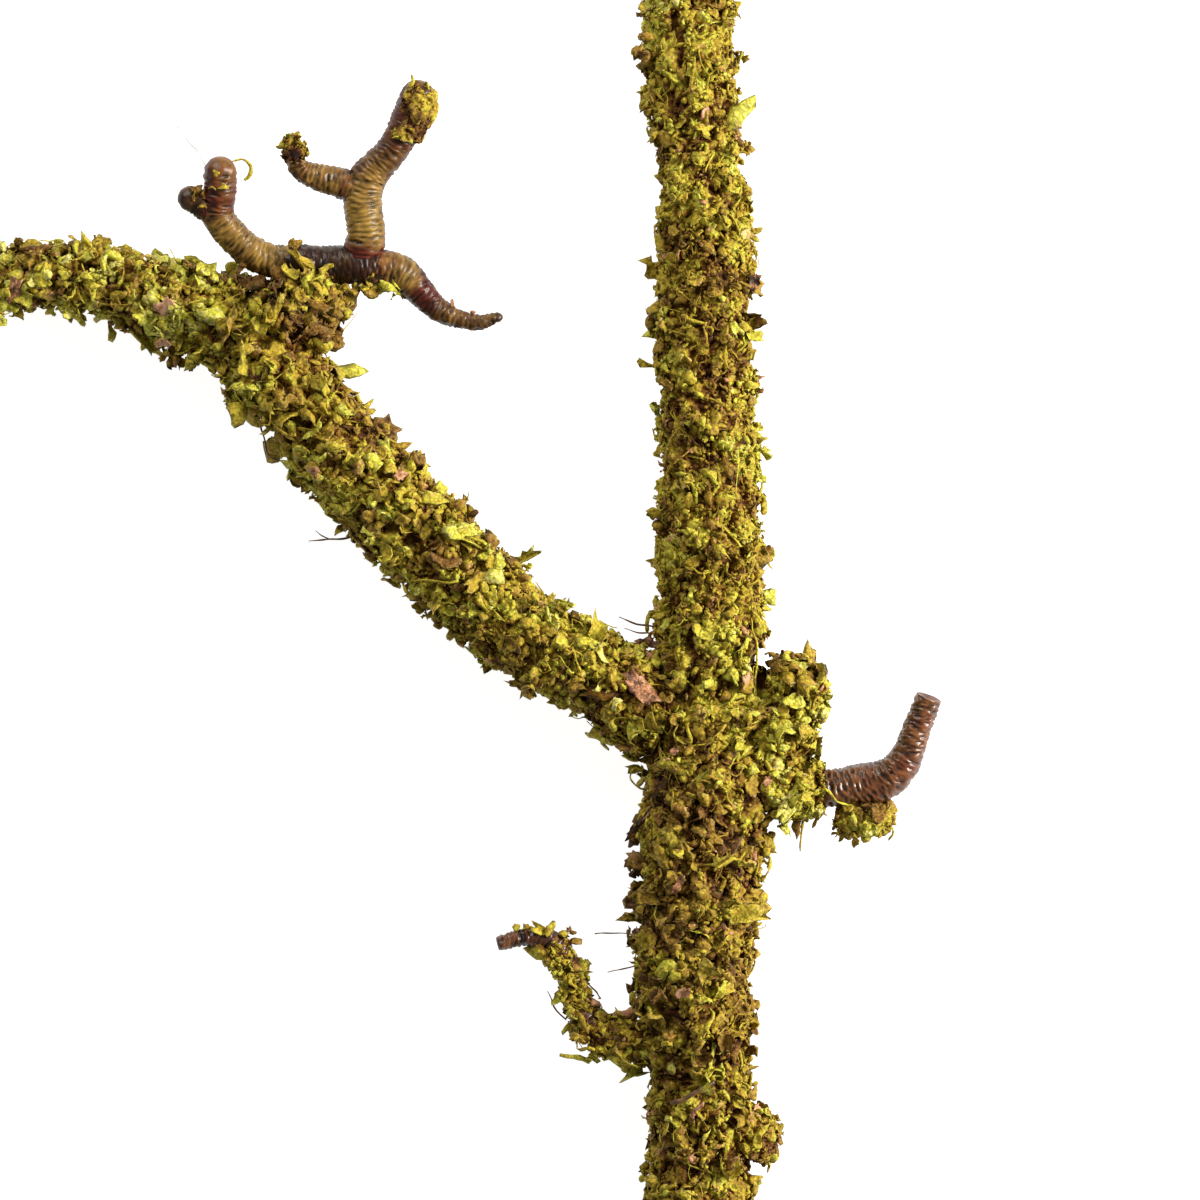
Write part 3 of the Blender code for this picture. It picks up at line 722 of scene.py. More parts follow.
def lichen_material(crust):
    """Dry leafy lichen, grown: matt, paler at its rims, darker and browner where it is old, and darker and
    browner still with painted shade where it lies deep in the crust and between its grains.
    """
    material, tree, place = new_material("dry_lichen_grown")
    age, depth, rim = [
        add(tree, "Attribute", attribute_name=mark, out="Fac") for mark in ("age", "depth", "rim")
    ]
    # Patches of fresher and older growth run to about 6 mm, the mottling on one flake to 0.5 mm, and
    # patches that are dying to about 2 mm.
    patch, mottle, dying = [
        add(tree, "TexNoise", {"Vector": place, "Scale": per_mm(size), "Detail": detail})
        for size, detail in ((6, 2), (0.45, 4), (2.2, 2))
    ]
    drift = add(tree, "Math", {0: patch, 1: 0.3, 2: -0.15}, operation="MULTIPLY_ADD")
    speck = add(tree, "Math", {0: mottle, 1: 0.8, 2: -0.4}, operation="MULTIPLY_ADD")
    shift = add(tree, "Math", {0: drift, 1: speck}, operation="ADD")
    live = add(tree, "Math", {0: age, 1: LIVE_AGE}, operation="MINIMUM")
    moved = add(tree, "Math", {0: live, 1: shift}, operation="ADD")
    shades = (crust.dark, crust.olive, crust.green, crust.bright, crust.pale)
    body = add(tree, "ValToRGB", {0: moved}, stops=zip((0.0, 0.25, 0.55, 0.82, 1.0), shades))
    dead = add(tree, "MapRange", {0: age, "From Min": DEAD_AGE - 0.005, "From Max": DEAD_AGE + 0.005})
    # Here and there a dying patch has turned pinkish tan.
    blush = add(tree, "MapRange", {0: dying, "From Min": 0.63, "From Max": 0.74, "To Max": 0.6})
    faded = add(tree, "Math", {0: dead, 1: blush}, operation="MAXIMUM")
    tan = add(tree, "Mix", {0: faded, 6: body, 7: (*crust.tan, 1)}, data_type="RGBA")
    edge = add(tree, "MapRange", {0: rim, "From Min": 0.75, "To Max": 0.16})
    light = add(tree, "Mix", {0: edge, 6: tan, 7: (*crust.pale, 1)}, data_type="RGBA")
    # Painted shade: the lower a vertex lies in the crust, by its depth mark, the darker and browner it is
    # drawn.
    painted_shade_tints = ((0.0, linear("5c3c26")), (0.38, linear("b08c68")), (0.78, linear("ffffff")))
    shade = add(tree, "ValToRGB", {0: depth}, stops=painted_shade_tints)
    deep = add(tree, "Mix", {0: 1.0, 6: light, 7: shade}, data_type="RGBA", blend_type="MULTIPLY")
    # Grains of the skin are near 0.2 mm, drawn at 0.42 mm so that they show.
    bent = add(tree, "TexNoise", {"Vector": place, "Scale": per_mm(0.8), "Detail": 2.0}, out=1)
    by = (0.5 * MM,) * 3
    nudge = add(tree, "VectorMath", {0: bent, 1: by, 2: place}, operation="MULTIPLY_ADD")
    grain = add(tree, "TexVoronoi", {"Vector": nudge, "Scale": per_mm(0.42)})
    # Painted shade: the colour is darkened in the low seams between grains, where the bump sinks, and
    # lightened on the grains' middles.
    limits = {"From Min": 0.3, "From Max": 0.8, "To Min": 1.08, "To Max": 0.6}
    gap = add(tree, "MapRange", {0: grain, **limits})
    grained = add(tree, "Mix", {0: 1.0, 6: deep, 7: gap}, data_type="RGBA", blend_type="MULTIPLY")
    height = add(tree, "Math", {0: mottle, 1: 0.8, 2: gap}, operation="MULTIPLY_ADD")
    bump = add(tree, "Bump", {"Height": height, "Strength": 0.9, "Distance": 0.16 * MM})
    surface = add(tree, "BsdfPrincipled", {
        "Base Color": grained,
        "Normal": bump,
        "Roughness": 0.72,
        "IOR": 1.45,
        "Specular IOR Level": 0.22,
    })
    add(tree, "OutputMaterial", {"Surface": surface})
    return material


def bark_material(name, base, bark, roughness, shine):
    """Young fruit bark, grown: waxy and glossy, olive to red-brown, with painted shade in the dark lines
    between its rings and painted light on their crests.
    """
    material, tree, place = new_material(name)
    ring, red, old = [
        add(tree, "Attribute", attribute_name=mark, out="Fac") for mark in ("ring", "red", "old")
    ]
    # Weathered patches run to about 2.5 mm, pores to 0.3 mm.
    patch, pore = [
        add(tree, "TexNoise", {"Vector": place, "Scale": per_mm(size), "Detail": detail})
        for size, detail in ((2.5, 3), (0.3, 2))
    ]
    blotch = add(tree, "Math", {0: patch, 1: 1.1, 2: -0.55}, operation="MULTIPLY_ADD")
    # The red and old marks carry painted shade as well as the bark's own tone: the spur's flanks come out
    # redder and darker.
    tone_and_flank_shade = (*base, 1)
    for mark, shade in ((red, bark.red), (old, bark.old)):
        share = add(tree, "Math", {0: mark, 1: blotch}, operation="ADD", use_clamp=True)
        tone_and_flank_shade = add(tree, "Mix", {0: share, 6: tone_and_flank_shade, 7: (*shade, 1)}, data_type="RGBA")
    fine = add(tree, "Math", {0: pore, 1: 0.5, 2: -0.25}, operation="MULTIPLY_ADD")
    # Painted shade and light: where the ring mark sinks between rings the colour is darkened, and where it
    # rises it is lightened.
    relief = add(tree, "Math", {0: ring, 1: fine}, operation="ADD")
    limits = {"From Min": -0.9, "From Max": 0.8, "To Min": 0.1, "To Max": 1.35}
    shade = add(tree, "MapRange", {0: relief, **limits})
    tinted = add(tree, "Mix", {0: 1.0, 6: tone_and_flank_shade, 7: shade}, data_type="RGBA", blend_type="MULTIPLY")
    bump = add(tree, "Bump", {"Height": pore, "Strength": 0.3, "Distance": 0.06 * MM})
    surface = add(tree, "BsdfPrincipled", {
        "Base Color": tinted,
        "Normal": bump,
        "Roughness": roughness,
        "IOR": 1.5,
        "Specular IOR Level": shine,
        "Coat Weight": shine * 0.3,
        "Coat Roughness": 0.12,
    })
    add(tree, "OutputMaterial", {"Surface": surface})
    return material


def wood_material(bark):
    """Fruitwood, sawn: pale and matt, clouded from heartwood to sapwood, with a fine mottled grain."""
    material, tree, place = new_material("fruitwood_sawn")
    # The grain is near 0.6 mm, as growth rings are, and clouding runs to about 4 mm.
    grain, broad = [
        add(tree, "TexNoise", {"Vector": place, "Scale": per_mm(size), "Detail": detail})
        for size, detail in ((0.6, 4), (4, 2))
    ]
    mixed = add(tree, "Math", {0: grain, 1: 0.4, 2: broad}, operation="MULTIPLY_ADD")
    shade = add(tree, "ValToRGB", {0: mixed}, stops=((0.45, bark.heartwood), (0.8, bark.sapwood)))
    bump = add(tree, "Bump", {"Height": grain, "Strength": 0.5, "Distance": 0.1 * MM})
    surface = add(tree, "BsdfPrincipled", {
        "Base Color": shade,
        "Normal": bump,
        "Roughness": 0.65,
        "IOR": 1.5,
    })
    add(tree, "OutputMaterial", {"Surface": surface})
    return material


def chip_material(bark):
    """Dead bark, flaked: dull and blotched, from dark brown to pinkish tan as its tone rises."""
    material, tree, place = new_material("dead_bark_flaked")
    tone = add(tree, "Attribute", attribute_name="age", out="Fac")
    # Blotches run to about 1 mm, the fibres to 0.25 mm.
    blotch, fibre = [
        add(tree, "TexNoise", {"Vector": place, "Scale": per_mm(size), "Detail": detail})
        for size, detail in ((1.0, 4), (0.25, 2))
    ]
    spread = add(tree, "Math", {0: blotch, 1: 1.4, 2: -0.7}, operation="MULTIPLY_ADD")
    streak = add(tree, "Math", {0: fibre, 1: 0.7, 2: -0.35}, operation="MULTIPLY_ADD")
    both = add(tree, "Math", {0: spread, 1: streak}, operation="ADD")
    mixed = add(tree, "Math", {0: tone, 1: both}, operation="ADD", use_clamp=True)
    tones = ((0.15, bark.old), (0.38, bark.brown), (0.6, bark.chip), (0.95, linear("cba17e")))
    shade = add(tree, "ValToRGB", {0: mixed}, stops=tones)
    bump = add(tree, "Bump", {"Height": fibre, "Strength": 0.6, "Distance": 0.1 * MM})
    surface = add(tree, "BsdfPrincipled", {
        "Base Color": shade,
        "Normal": bump,
        "Roughness": 0.6,
        "IOR": 1.5,
    })
    add(tree, "OutputMaterial", {"Surface": surface})
    return material


def hair_material():
    """Dry plant fibre, stripped: thin dark hairs with a dull shine."""
    material, tree, place = new_material("plant_fibre_dry")
    # Lighter and darker lengths run to about 1.5 mm.
    tone = add(tree, "TexNoise", {"Vector": place, "Scale": per_mm(1.5), "Detail": 2})
    tones = ((0.35, linear("3a2413")), (0.65, linear("6f4a26")))
    shade = add(tree, "ValToRGB", {0: tone}, stops=tones)
    surface = add(tree, "BsdfPrincipled", {"Base Color": shade, "Roughness": 0.45, "IOR": 1.53})
    add(tree, "OutputMaterial", {"Surface": surface})
    return material


def floor_material(stage):
    """Opal acrylic, cast and lit from behind: an even pale sheet that keeps shadows faint."""
    material, tree, place = new_material("opal_acrylic_cast")
    # Clouding too faint to see as such runs to about 30 mm.
    tone = add(tree, "TexNoise", {"Vector": place, "Scale": per_mm(30), "Detail": 2})
    tones = ((0.0, [c * 0.985 for c in stage.floor]), (1.0, stage.floor))
    shade = add(tree, "ValToRGB", {0: tone}, stops=tones)
    surface = add(tree, "BsdfPrincipled", {
        "Base Color": shade,
        "Roughness": 0.6,
        "Specular IOR Level": 0.1,
        "Emission Color": (*linear("ffffff"), 1),
        "Emission Strength": stage.glow,
    })
    add(tree, "OutputMaterial", {"Surface": surface})
    return material


def made_once(name, make, *settings):
    """The material of that name, made by make if it isn't there yet."""
    return bpy.data.materials.get(name) or make(*settings)


# ---------------------------------------------------------------- crust


def remeshed(name, grain):
    """A solid's surface in even facets: places, normals and triangles."""
    mesh = NODES[name].data.copy()
    working = bpy.data.objects.new("working", mesh)
    bpy.context.scene.collection.objects.link(working)
    weld = working.modifiers.new("weld", "WELD")
    weld.merge_threshold = 0.001 * MM
    voxels = working.modifiers.new("voxels", "REMESH")
    voxels.mode = "VOXEL"
    voxels.voxel_size = grain
    working.modifiers.new("triangles", "TRIANGULATE")
    even = working.evaluated_get(bpy.context.evaluated_depsgraph_get()).to_mesh()
    places = np.empty(len(even.vertices) * 3)
    even.vertices.foreach_get("co", places)
    normals = np.empty(len(even.vertices) * 3)
    even.vertices.foreach_get("normal", normals)
    triangles = np.empty(len(even.polygons) * 3, np.int32)
    even.polygons.foreach_get("vertices", triangles)
    bpy.data.objects.remove(working)
    bpy.data.meshes.remove(mesh)
    return places.reshape(-1, 3), normals.reshape(-1, 3), triangles.reshape(-1, 3)


def crust_bed(name, skin, crust):
    """The crumpled ground that the flakes grow from, split into plates, a little inside the solid."""
    places, normals, triangles = remeshed(name, crust.bed_grain * (0.75 if skin.thin < 1 else 1))
    tree = search_tree(skin.corners)
    nearest = [tree.find_nearest(Vector(p)) for p in places]
    gaps = np.array([n[3] for n in nearest]) / MM
    outward = np.array([n[1] for n in nearest])
    triangles = triangles[(gaps[triangles] < 1.0).any(1)]
    used, triangles = np.unique(triangles, return_inverse=True)
    triangles = triangles.reshape(-1, 3)
    places, normals, gaps, outward = places[used], normals[used], gaps[used], outward[used]
    lapping = normals - outward * (normals * outward).sum(1)[:, None]
    places = places + lapping * OVERLAP
    normals = unit(outward + 0.2 * normals)
    plate, crack, tone = plates(places, crust.plate, 40)
    small, split, tint = plates(places, crust.plate * 0.5, 41)
    relief = 0.4 * plate - 0.35 * np.clip(1 - crack / 0.2, 0, 1)
    relief += 0.17 * small - 0.12 * np.clip(1 - split / 0.25, 0, 1)
    sunk = np.clip(lumps(places) + relief * MM - crust.bed_depth, -DEEPEST, HIGHEST)
    if skin.top < math.inf:
        ridge = (skin.top + PLAN_SHIFT[1]) * MM
        places[:, 1] = np.where(places[:, 1] > ridge, ridge + (places[:, 1] - ridge) * 0.05, places[:, 1])
    outer = np.clip(1.6 - gaps / 0.6, 0, 1)
    places = places + normals * (sunk * skin.thin * outer)[:, None]
    marks = {
        "age": np.clip(ages(places) + 0.25 * (tone - 0.5) + 0.2 * (tint - 0.5) + skin.freshness_and_light, 0, LIVE_AGE),
        # Painted shade: cracks between plates and hollows between lumps get a lower depth mark and are
        # drawn darker and browner.
        "depth": np.clip(0.75 + relief + 0.5 * lumps(places) / MM, 0, 1),
        "rim": np.clip(1 - crack * 3, 0, 1) * (plate > 0.1),
    }
    return crumpled(places, 0.15 * MM * skin.thin, 0.8 * MM), triangles, marks


def grounded(ground, made, normals):
    """Shapes with equal numbers of corners, each moved until its lowest one touches the ground."""
    if not len(normals):
        return made
    shapes = made.reshape(len(normals), -1, 3)
    heights = np.einsum("cvi,ci->cv", shapes, normals)
    lowest = shapes[np.arange(len(normals)), heights.argmin(1)]
    moves = np.zeros((len(normals), 3))
    for i, place in enumerate(lowest):
        near, facing, _, _ = ground.find_nearest(Vector(place))
        if (Vector(place) - near).dot(facing) > 0:
            moves[i] = near - Vector(place)
    return (shapes + moves[:, None]).reshape(-1, 3)


def tufts(rng, skin, crust, share, ground):
    """Tufts of a few flakes that stand out of the crust together."""
    places, normals = skin.scatter(rng, crust.tufts * share)
    each = rng.integers(3, 7, len(places))
    places, normals = np.repeat(places, each, 0), np.repeat(normals, each, 0)
    places = places + np.clip(rng.normal(0, 0.45, places.shape), -0.6, 0.6) * MM
    look = {**LOBE, "lift": (-0.3, 0.6), "tilt": (0.5, 0.4)}
    made, faces, marks = shape_flakes(rng, LOBE_DISC, places, normals, crust.lobe * 0.85, look)
    return grounded(ground, made, normals), faces, marks


def strewn(rng, skin, density, size, look, ground):
    """Strands or torn strips on a skin."""
    places, normals = skin.scatter(rng, density)
    made, faces, marks = shape_strands(rng, places, normals, size, look)
    return grounded(ground, made, normals), faces, marks


def grow(rng, skin, density, share, template, look, size, ground):
    """Flakes of one kind on a skin. share is how many grow where the crust is thinnest for that kind."""
    places, normals = skin.scatter(rng, density)
    if skin.thin < 1:
        rise = (1 - skin.thin) * 0.7
        look = {**look, "lift": (look["lift"][0] + rise, look["lift"][1] + rise * 0.2)}
        places = places - normals * (lumps(places) * (1 - skin.thin))[:, None]
    patch = ripple(places, 8 * MM, 4) * 0.45 + 0.5
    kept = rng.random(len(places)) < np.clip(patch + share, 0.2, 1)
    made, faces, marks = shape_flakes(rng, template, places[kept], normals[kept], size, look)
    live = marks["age"] < DEAD_AGE
    marks["age"][live] = np.clip(marks["age"][live] + skin.freshness_and_light, 0, DEAD_AGE - 0.01)
    return grounded(ground, made, normals[kept]), faces, marks


LARGE_SKIN = 90    # square millimetres above which a skin's flakes are full-sized
HAIRY_SKIN = 150   # square millimetres above which it carries tufts, torn strips and strands
SMALL_FLAKES = 0.66   # flake size on the smaller skins


def crust_of(name, crust, rng):
    """One stretch of crust: its bed, crumbs, flakes and strands as one mesh."""
    skin = Skin(name)
    coarse = COARSENESS.get(name, 1.0)
    small = 0.82 + 0.18 * coarse if skin.area > LARGE_SKIN else SMALL_FLAKES
    hairy = 1.0 if skin.area > HAIRY_SKIN else 0.0
    bed = crust_bed(name, skin, crust)
    ground = BVHTree.FromPolygons(bed[0].tolist(), bed[1].tolist())
    batches = [
        grow(rng, skin, density, share, template, look, size, ground)
        for density, share, template, look, size in (
            (crust.crumbs / coarse, 0.5, CRUMB_DISC, CRUMB, crust.crumb * min(small, 1)),
            (crust.scales / coarse**0.4, 0.4, SCALE_DISC, SCALE, crust.scale * small),
            (crust.lobes * coarse**0.8, 0.1, LOBE_DISC, LOBE, crust.lobe * small),
            (crust.curls * coarse**1.7, 0.1, CURL_DISC, CURL, crust.curl * small),
        )
    ]
    batches += [
        tufts(rng, skin, crust, hairy, ground),
        strewn(rng, skin, crust.shreds * hairy, crust.shred, SHRED, ground),
        strewn(rng, skin, crust.strands * coarse * hairy, crust.strand, STRAND, ground),
    ]
    places, triangles, marks = joined([bed, *batches])
    slots = [made_once("dry_lichen_grown", lichen_material, crust)]
    return make_piece(name.replace("lichen", "crust"), press(places), triangles, slots, marks)


class TWIG_OT_crust(bpy.types.Operator):
    """Grow the lichen crust on every stretch of the twig"""

    bl_idname = "twig.crust"
    bl_label = "Lichen Crust"

    def execute(self, context):
        for number, name in enumerate(LICHEN):
            rng = np.random.default_rng(SEED + number)
            piece = crust_of(name, context.scene.twig_crust, rng)
            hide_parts(name)
        return {"FINISHED"}


# ---------------------------------------------------------------- spurs


def route(rows, step):
    """A smooth line through rows of plan x, y, z and radius, with a point at each step, in metres."""
    rows = np.array(rows, float)
    rows[:, :2] += PLAN_SHIFT
    ends = np.vstack([2 * rows[0] - rows[1], rows, 2 * rows[-1] - rows[-2]])
    t = np.linspace(0, 1, 40, endpoint=False)[:, None]
    fine = []
    for a, b, c, d in zip(ends, ends[1:], ends[2:], ends[3:]):
        bend = (2 * a - 5 * b + 4 * c - d) * t**2
        twist = (3 * b - a - 3 * c + d) * t**3
        fine.append(0.5 * (2 * b + (c - a) * t + bend + twist))
    fine = np.vstack([*fine, rows[-1:]]) * MM
    run = np.concatenate([[0], np.cumsum(np.linalg.norm(np.diff(fine[:, :3], axis=0), axis=1))])
    spots = np.linspace(0, run[-1], int(run[-1] / step) + 2)
    return np.stack([np.interp(spots, run, fine[:, i]) for i in range(4)], axis=1), spots


def folds(places, span, seed):
    """Creased noise of about -1.2 to 0.6: rounded folds with sharp valleys between them."""
    return 0.6 - 1.9 * np.abs(ripple(places, span, seed))


def spur_tube(rows, bark, sides, tip, collars, tone, age, rough):
    """A ringed spur along a route: places, triangles and the marks its bark reads."""
    line, spots = route(rows, bark.facet)
    centres, radii = line[:, :3], line[:, 3]
    run = unit(np.gradient(centres, axis=0))
    caps = []
    for shape, at, sign in ((DOME, 0, -1), (tip, -1, 1)):
        ahead = np.array([step[0] for step in shape]) * radii[at]
        narrow = np.array([step[1] for step in shape]) * radii[at]
        tips = centres[at] + run[at] * sign * ahead[:, None]
        caps.append((tips, narrow, spots[at] + sign * np.abs(ahead)))
    centres = np.vstack([caps[0][0][::-1], centres, caps[1][0]])
    run = np.vstack([np.repeat(run[:1], len(DOME), 0), run, np.repeat(run[-1:], len(tip), 0)])
    radii = np.concatenate([caps[0][1][::-1], radii, caps[1][1]])
    spots = np.concatenate([caps[0][2][::-1], spots, caps[1][2]])
    aside = np.empty_like(run)
    aside[0] = unit(np.cross(run[0], (0.31, 0.22, 0.93)))
    for i in range(1, len(run)):
        aside[i] = unit(aside[i - 1] - run[i] * (aside[i - 1] @ run[i]))
    other = np.cross(run, aside)
    turns = 2 * np.pi * np.arange(sides) / sides
    out = aside[:, None, :] * np.cos(turns)[:, None] + other[:, None, :] * np.sin(turns)[:, None]
    skin = centres[:, None, :] + out * radii[:, None, None]
    strip = centres[:, None, :] + out * (radii * 0.28)[:, None, None]
    wavy = strip + run[:, None, :] * (0.35 * MM * ripple(skin, 1.7 * MM, 11))[..., None]
    strength = 0.6 + 0.5 * ripple(skin, 1.8 * MM, 13)
    run_on = spots[:, None] + 0.32 * MM * ripple(skin, 1.5 * MM, 11)
    ribs = 0.5 - 1.5 * np.abs(np.sin(math.pi * run_on / bark.ring_pitch)) ** 3
    firm = np.clip(strength + 0.5 * (1 - rough), 0.3, 1.2)
    even = (0.5 * folds(wavy, bark.ring_pitch * 1.1, 12) + 0.65 * ribs) * firm
    even = even + 0.35 * folds(strip + (skin - strip) * 0.3, bark.ring_pitch * 0.6, 19)
    slanted = strip + np.cross(strip - centres[:, None, :], run[:, None, :]) * 1.6
    wrinkle = 0.7 * folds(slanted, 0.5 * MM, 17) + 0.6 * folds(strip + (skin - strip) * 0.4, 0.34 * MM, 18)
    ring = even * (1 - rough) + wrinkle * rough
    crease = ripple(skin, 0.7 * MM, 14)
    reach = np.zeros(len(spots))
    for at, gain, spread in collars:
        reach += gain * np.exp(-(((spots / MM - at) / spread) ** 2))
    fade = np.ones(len(spots))
    fade[: len(DOME)] = np.linspace(0.1, 1, len(DOME))
    fade[-len(tip):] = np.linspace(1, 0.1, len(tip))
    swell = (
        bark.ring_height * (0.8 + 0.5 * rough) * ring * fade[:, None]
        + 0.06 * MM * crease * fade[:, None]
        + 0.16 * MM * ripple(skin, 2.6 * MM, 15)
        + radii[:, None] * 0.05 * reach[:, None]
    )
    skin = skin + out * swell[..., None]
    rows_total = len(centres)
    start, stop = centres[0], centres[-1]
    places = np.vstack([skin.reshape(-1, 3), start, stop])
    i, j = np.meshgrid(np.arange(rows_total - 1), np.arange(sides), indexing="ij")
    k = (j + 1) % sides
    a, b, c, d = i * sides + j, i * sides + k, (i + 1) * sides + k, (i + 1) * sides + j
    faces = np.concatenate([np.stack([a, b, c], -1).reshape(-1, 3), np.stack([a, c, d], -1).reshape(-1, 3)])
    spin = np.arange(sides)
    after = (spin + 1) % sides
    first, last = rows_total * sides, (rows_total - 1) * sides
    closing = np.concatenate([
        np.stack([np.full(sides, first), after, spin], -1),
        np.stack([np.full(sides, first + 1), last + spin, last + after], -1),
    ])
    # Painted shade: the flanks and underside, facing away from +Z, are drawn redder and darker through the
    # red and old marks.
    painted_flank_shade = np.clip((0.5 - out[..., 2]) / 0.5, 0, 1)
    red_and_flank_shade = tone + reach[:, None] + ripple(skin, 4 * MM, 16) * 0.15 + 0.45 * painted_flank_shade
    tone_and_flank_shade = np.interp(spots, spots[[0, -1]], age)[:, None] + 0.3 * painted_flank_shade
    marks = {
        "ring": np.append(ring.ravel() * 0.8 + crease.ravel() * 0.3, (0, 0)),
        "red": np.append(red_and_flank_shade.ravel(), (tone, tone)),
        "old": np.append(tone_and_flank_shade.ravel(), age),
    }
    return places, np.concatenate([faces, closing]), marks


# Swollen, redder collars on a run: millimetres from its start, swelling and spread.
CROWN_COLLARS = ((2.6, 1.0, 1.5), (12.5, 0.4, 2.0), (18.0, 0.7, 3.5), (23.0, 1.0, 3.0))
RIGHT_COLLARS = ((14.0, 0.2, 1.2), (20.0, 0.3, 1.0), (25.2, 0.4, 0.9), (30.5, 0.4, 0.8))
HOOK_COLLARS = ((19.0, 0.3, 0.8), (24.5, 0.4, 0.8), (29.5, 0.3, 0.7))

# Each spur piece: the nodes it stands for, its bark, and its runs. A run is its rows, tip and collars,
# how red it is between them, how old it is from root to tip, and how wrinkled its rings are.
SPUR_PIECES = {
    "spur_cluster": (
        ("spur_fork", "spur_left", "spur_crown", "spur_tail"),
        "bark_red",
        (
            (ROOT, DOME, (), 0.4, (0.7, 0.7), 0.5),
            (RIDGE, DOME, ((9.2, 0.9, 1.6),), 0.3, (1.0, 1.05), 0.6),
            (LEFT_STALK, DOME, ((12.8, 0.8, 2.2), (16.5, 0.75, 3.4)), 0.08, (0.35, 0.1), 0.5),
            (LEFT_SIDE_NUB, DOME, ((1.0, 1.0, 2.4),), 0.5, (0.2, 1.0), 0.5),
            (CROWN_RUN, DOME, CROWN_COLLARS, 0.05, (0.0, 0.5), 0.5),
            (CROWN_LEFT, DOME, ((2.2, 0.5, 1.1), (7.5, 0.4, 1.2)), 0.2, (0.2, 0.25), 0.5),
            (TAIL, DOME, ((1.5, 0.6, 1.6), (8.6, 0.9, 2.4), (14.5, 0.5, 2.5)), 0.2, (0.0, 0.8), 0.5),
        ),
    ),
    "spur_right_twig": (
        ("spur_right",),
        "bark_brown",
        ((RIGHT_SPUR, CUT, RIGHT_COLLARS, 0.0, (0.25, 0.0), 0.8),),
    ),
    "spur_bud_twig": (
        ("spur_bud",),
        "bark_brown",
        ((BUD, BLUNT, ((10.0, 0.3, 0.8),), 0.1, (0.2, 0.1), 0.7),),
    ),
    "spur_hook_twig": (
        ("spur_hook",),
        "bark_brown",
        ((HOOK, BLUNT, HOOK_COLLARS, 0.15, (0.5, 0.45), 0.05),),
    ),
    "stub_low_twig": (
        ("stub_low",),
        "bark_brown",
        ((LOW_STUB, BLUNT, (), 0.1, (0.3, 0.3), 0.5),),
    ),
}
SPUR_SIDES = 42


class TWIG_OT_spurs(bpy.types.Operator):
    """Build the ringed spurs that stand clear of the crust"""

    bl_idname = "twig.spurs"
    bl_label = "Fruit Spurs"

    def execute(self, context):
        bark = context.scene.twig_bark
        barks = {
            "bark_red": ("young_fruit_bark_grown", bark.olive, 0.4, 0.24),
            "bark_brown": ("brown_fruit_bark_grown", bark.brown, 0.34, 0.42),
        }
        for name, (nodes, slot, runs) in SPUR_PIECES.items():
            tubes_made = [spur_tube(rows, bark, SPUR_SIDES, *more) for rows, *more in runs]
            places, triangles, marks = joined(tubes_made)
            grown, base, roughness, shine = barks[slot]
            material = made_once(grown, bark_material, grown, base, bark, roughness, shine)
            piece = make_piece(name, places, triangles, [material], marks)
            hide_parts(*nodes)
        return {"FINISHED"}


# ---------------------------------------------------------------- loose pieces

# Loose things on the twig's plan, in millimetres: x, y, z or 0 to lie on what is below, length,
# width, heading in degrees from x towards y, and tone, 0 dark to 0.9 pale.
CHIPS = (
    (5.0, -10.9, 0, 7.0, 3.0, -50, 0.42),
    (5.6, -5.0, 0, 4.2, 1.6, 10, 0.2),
    (-53.8, 36.5, 0, 3.5, 2.5, 20, 0.7),
    (17.5, -10.0, 0, 2.6, 1.5, 80, 0.55),
    (-73.1, 38.8, 0, 4.0, 2.0, 60, 0.45),
    (-18.7, -0.6, 8.5, 4.5, 2.0, 0, 0.5),
    (-18.1, -3.7, 7.0, 2.2, 1.3, 30, 0.45),
    (-0.2, -50.0, 0, 2.0, 1.2, 20, 0.6),
    (20.6, -22.5, 0, 2.1, 1.3, 70, 0.5),
    (19.4, 39.4, 9.0, 3.0, 1.5, 80, 0.25),
    (12.1, -63.0, 0, 3.0, 1.3, 60, 0.6),
    (10.4, -48.4, 0, 2.2, 1.5, 0, 0.6),
    (18.5, -63.5, 0, 2.0, 1.5, 30, 0.75),
    (9.7, -35.0, 0, 2.5, 1.5, 40, 0.4),
    (9.0, -18.7, 14.3, 1.6, 1.1, 0, 0.5),
    (-24.7, 15.9, 0, 2.5, 2.0, 45, 0.65),
    (-42.9, 27.9, 0, 2.5, 1.3, -30, 0.45),
    (-54.1, 32.5, 0, 2.5, 1.5, 10, 0.55),
    (12.9, 60.2, 0, 1.9, 1.1, 30, 0.7),
    (27.7, -10.0, 10.5, 3.4, 1.4, 75, 0.3),
    (4.6, -27.4, 10.0, 6.2, 1.5, 230, 0.12),
    (-18.1, 37.4, 8.2, 1.6, 0.9, 100, 0.5),
    (-15.6, 36.2, 7.9, 1.2, 0.7, 60, 0.5),
)
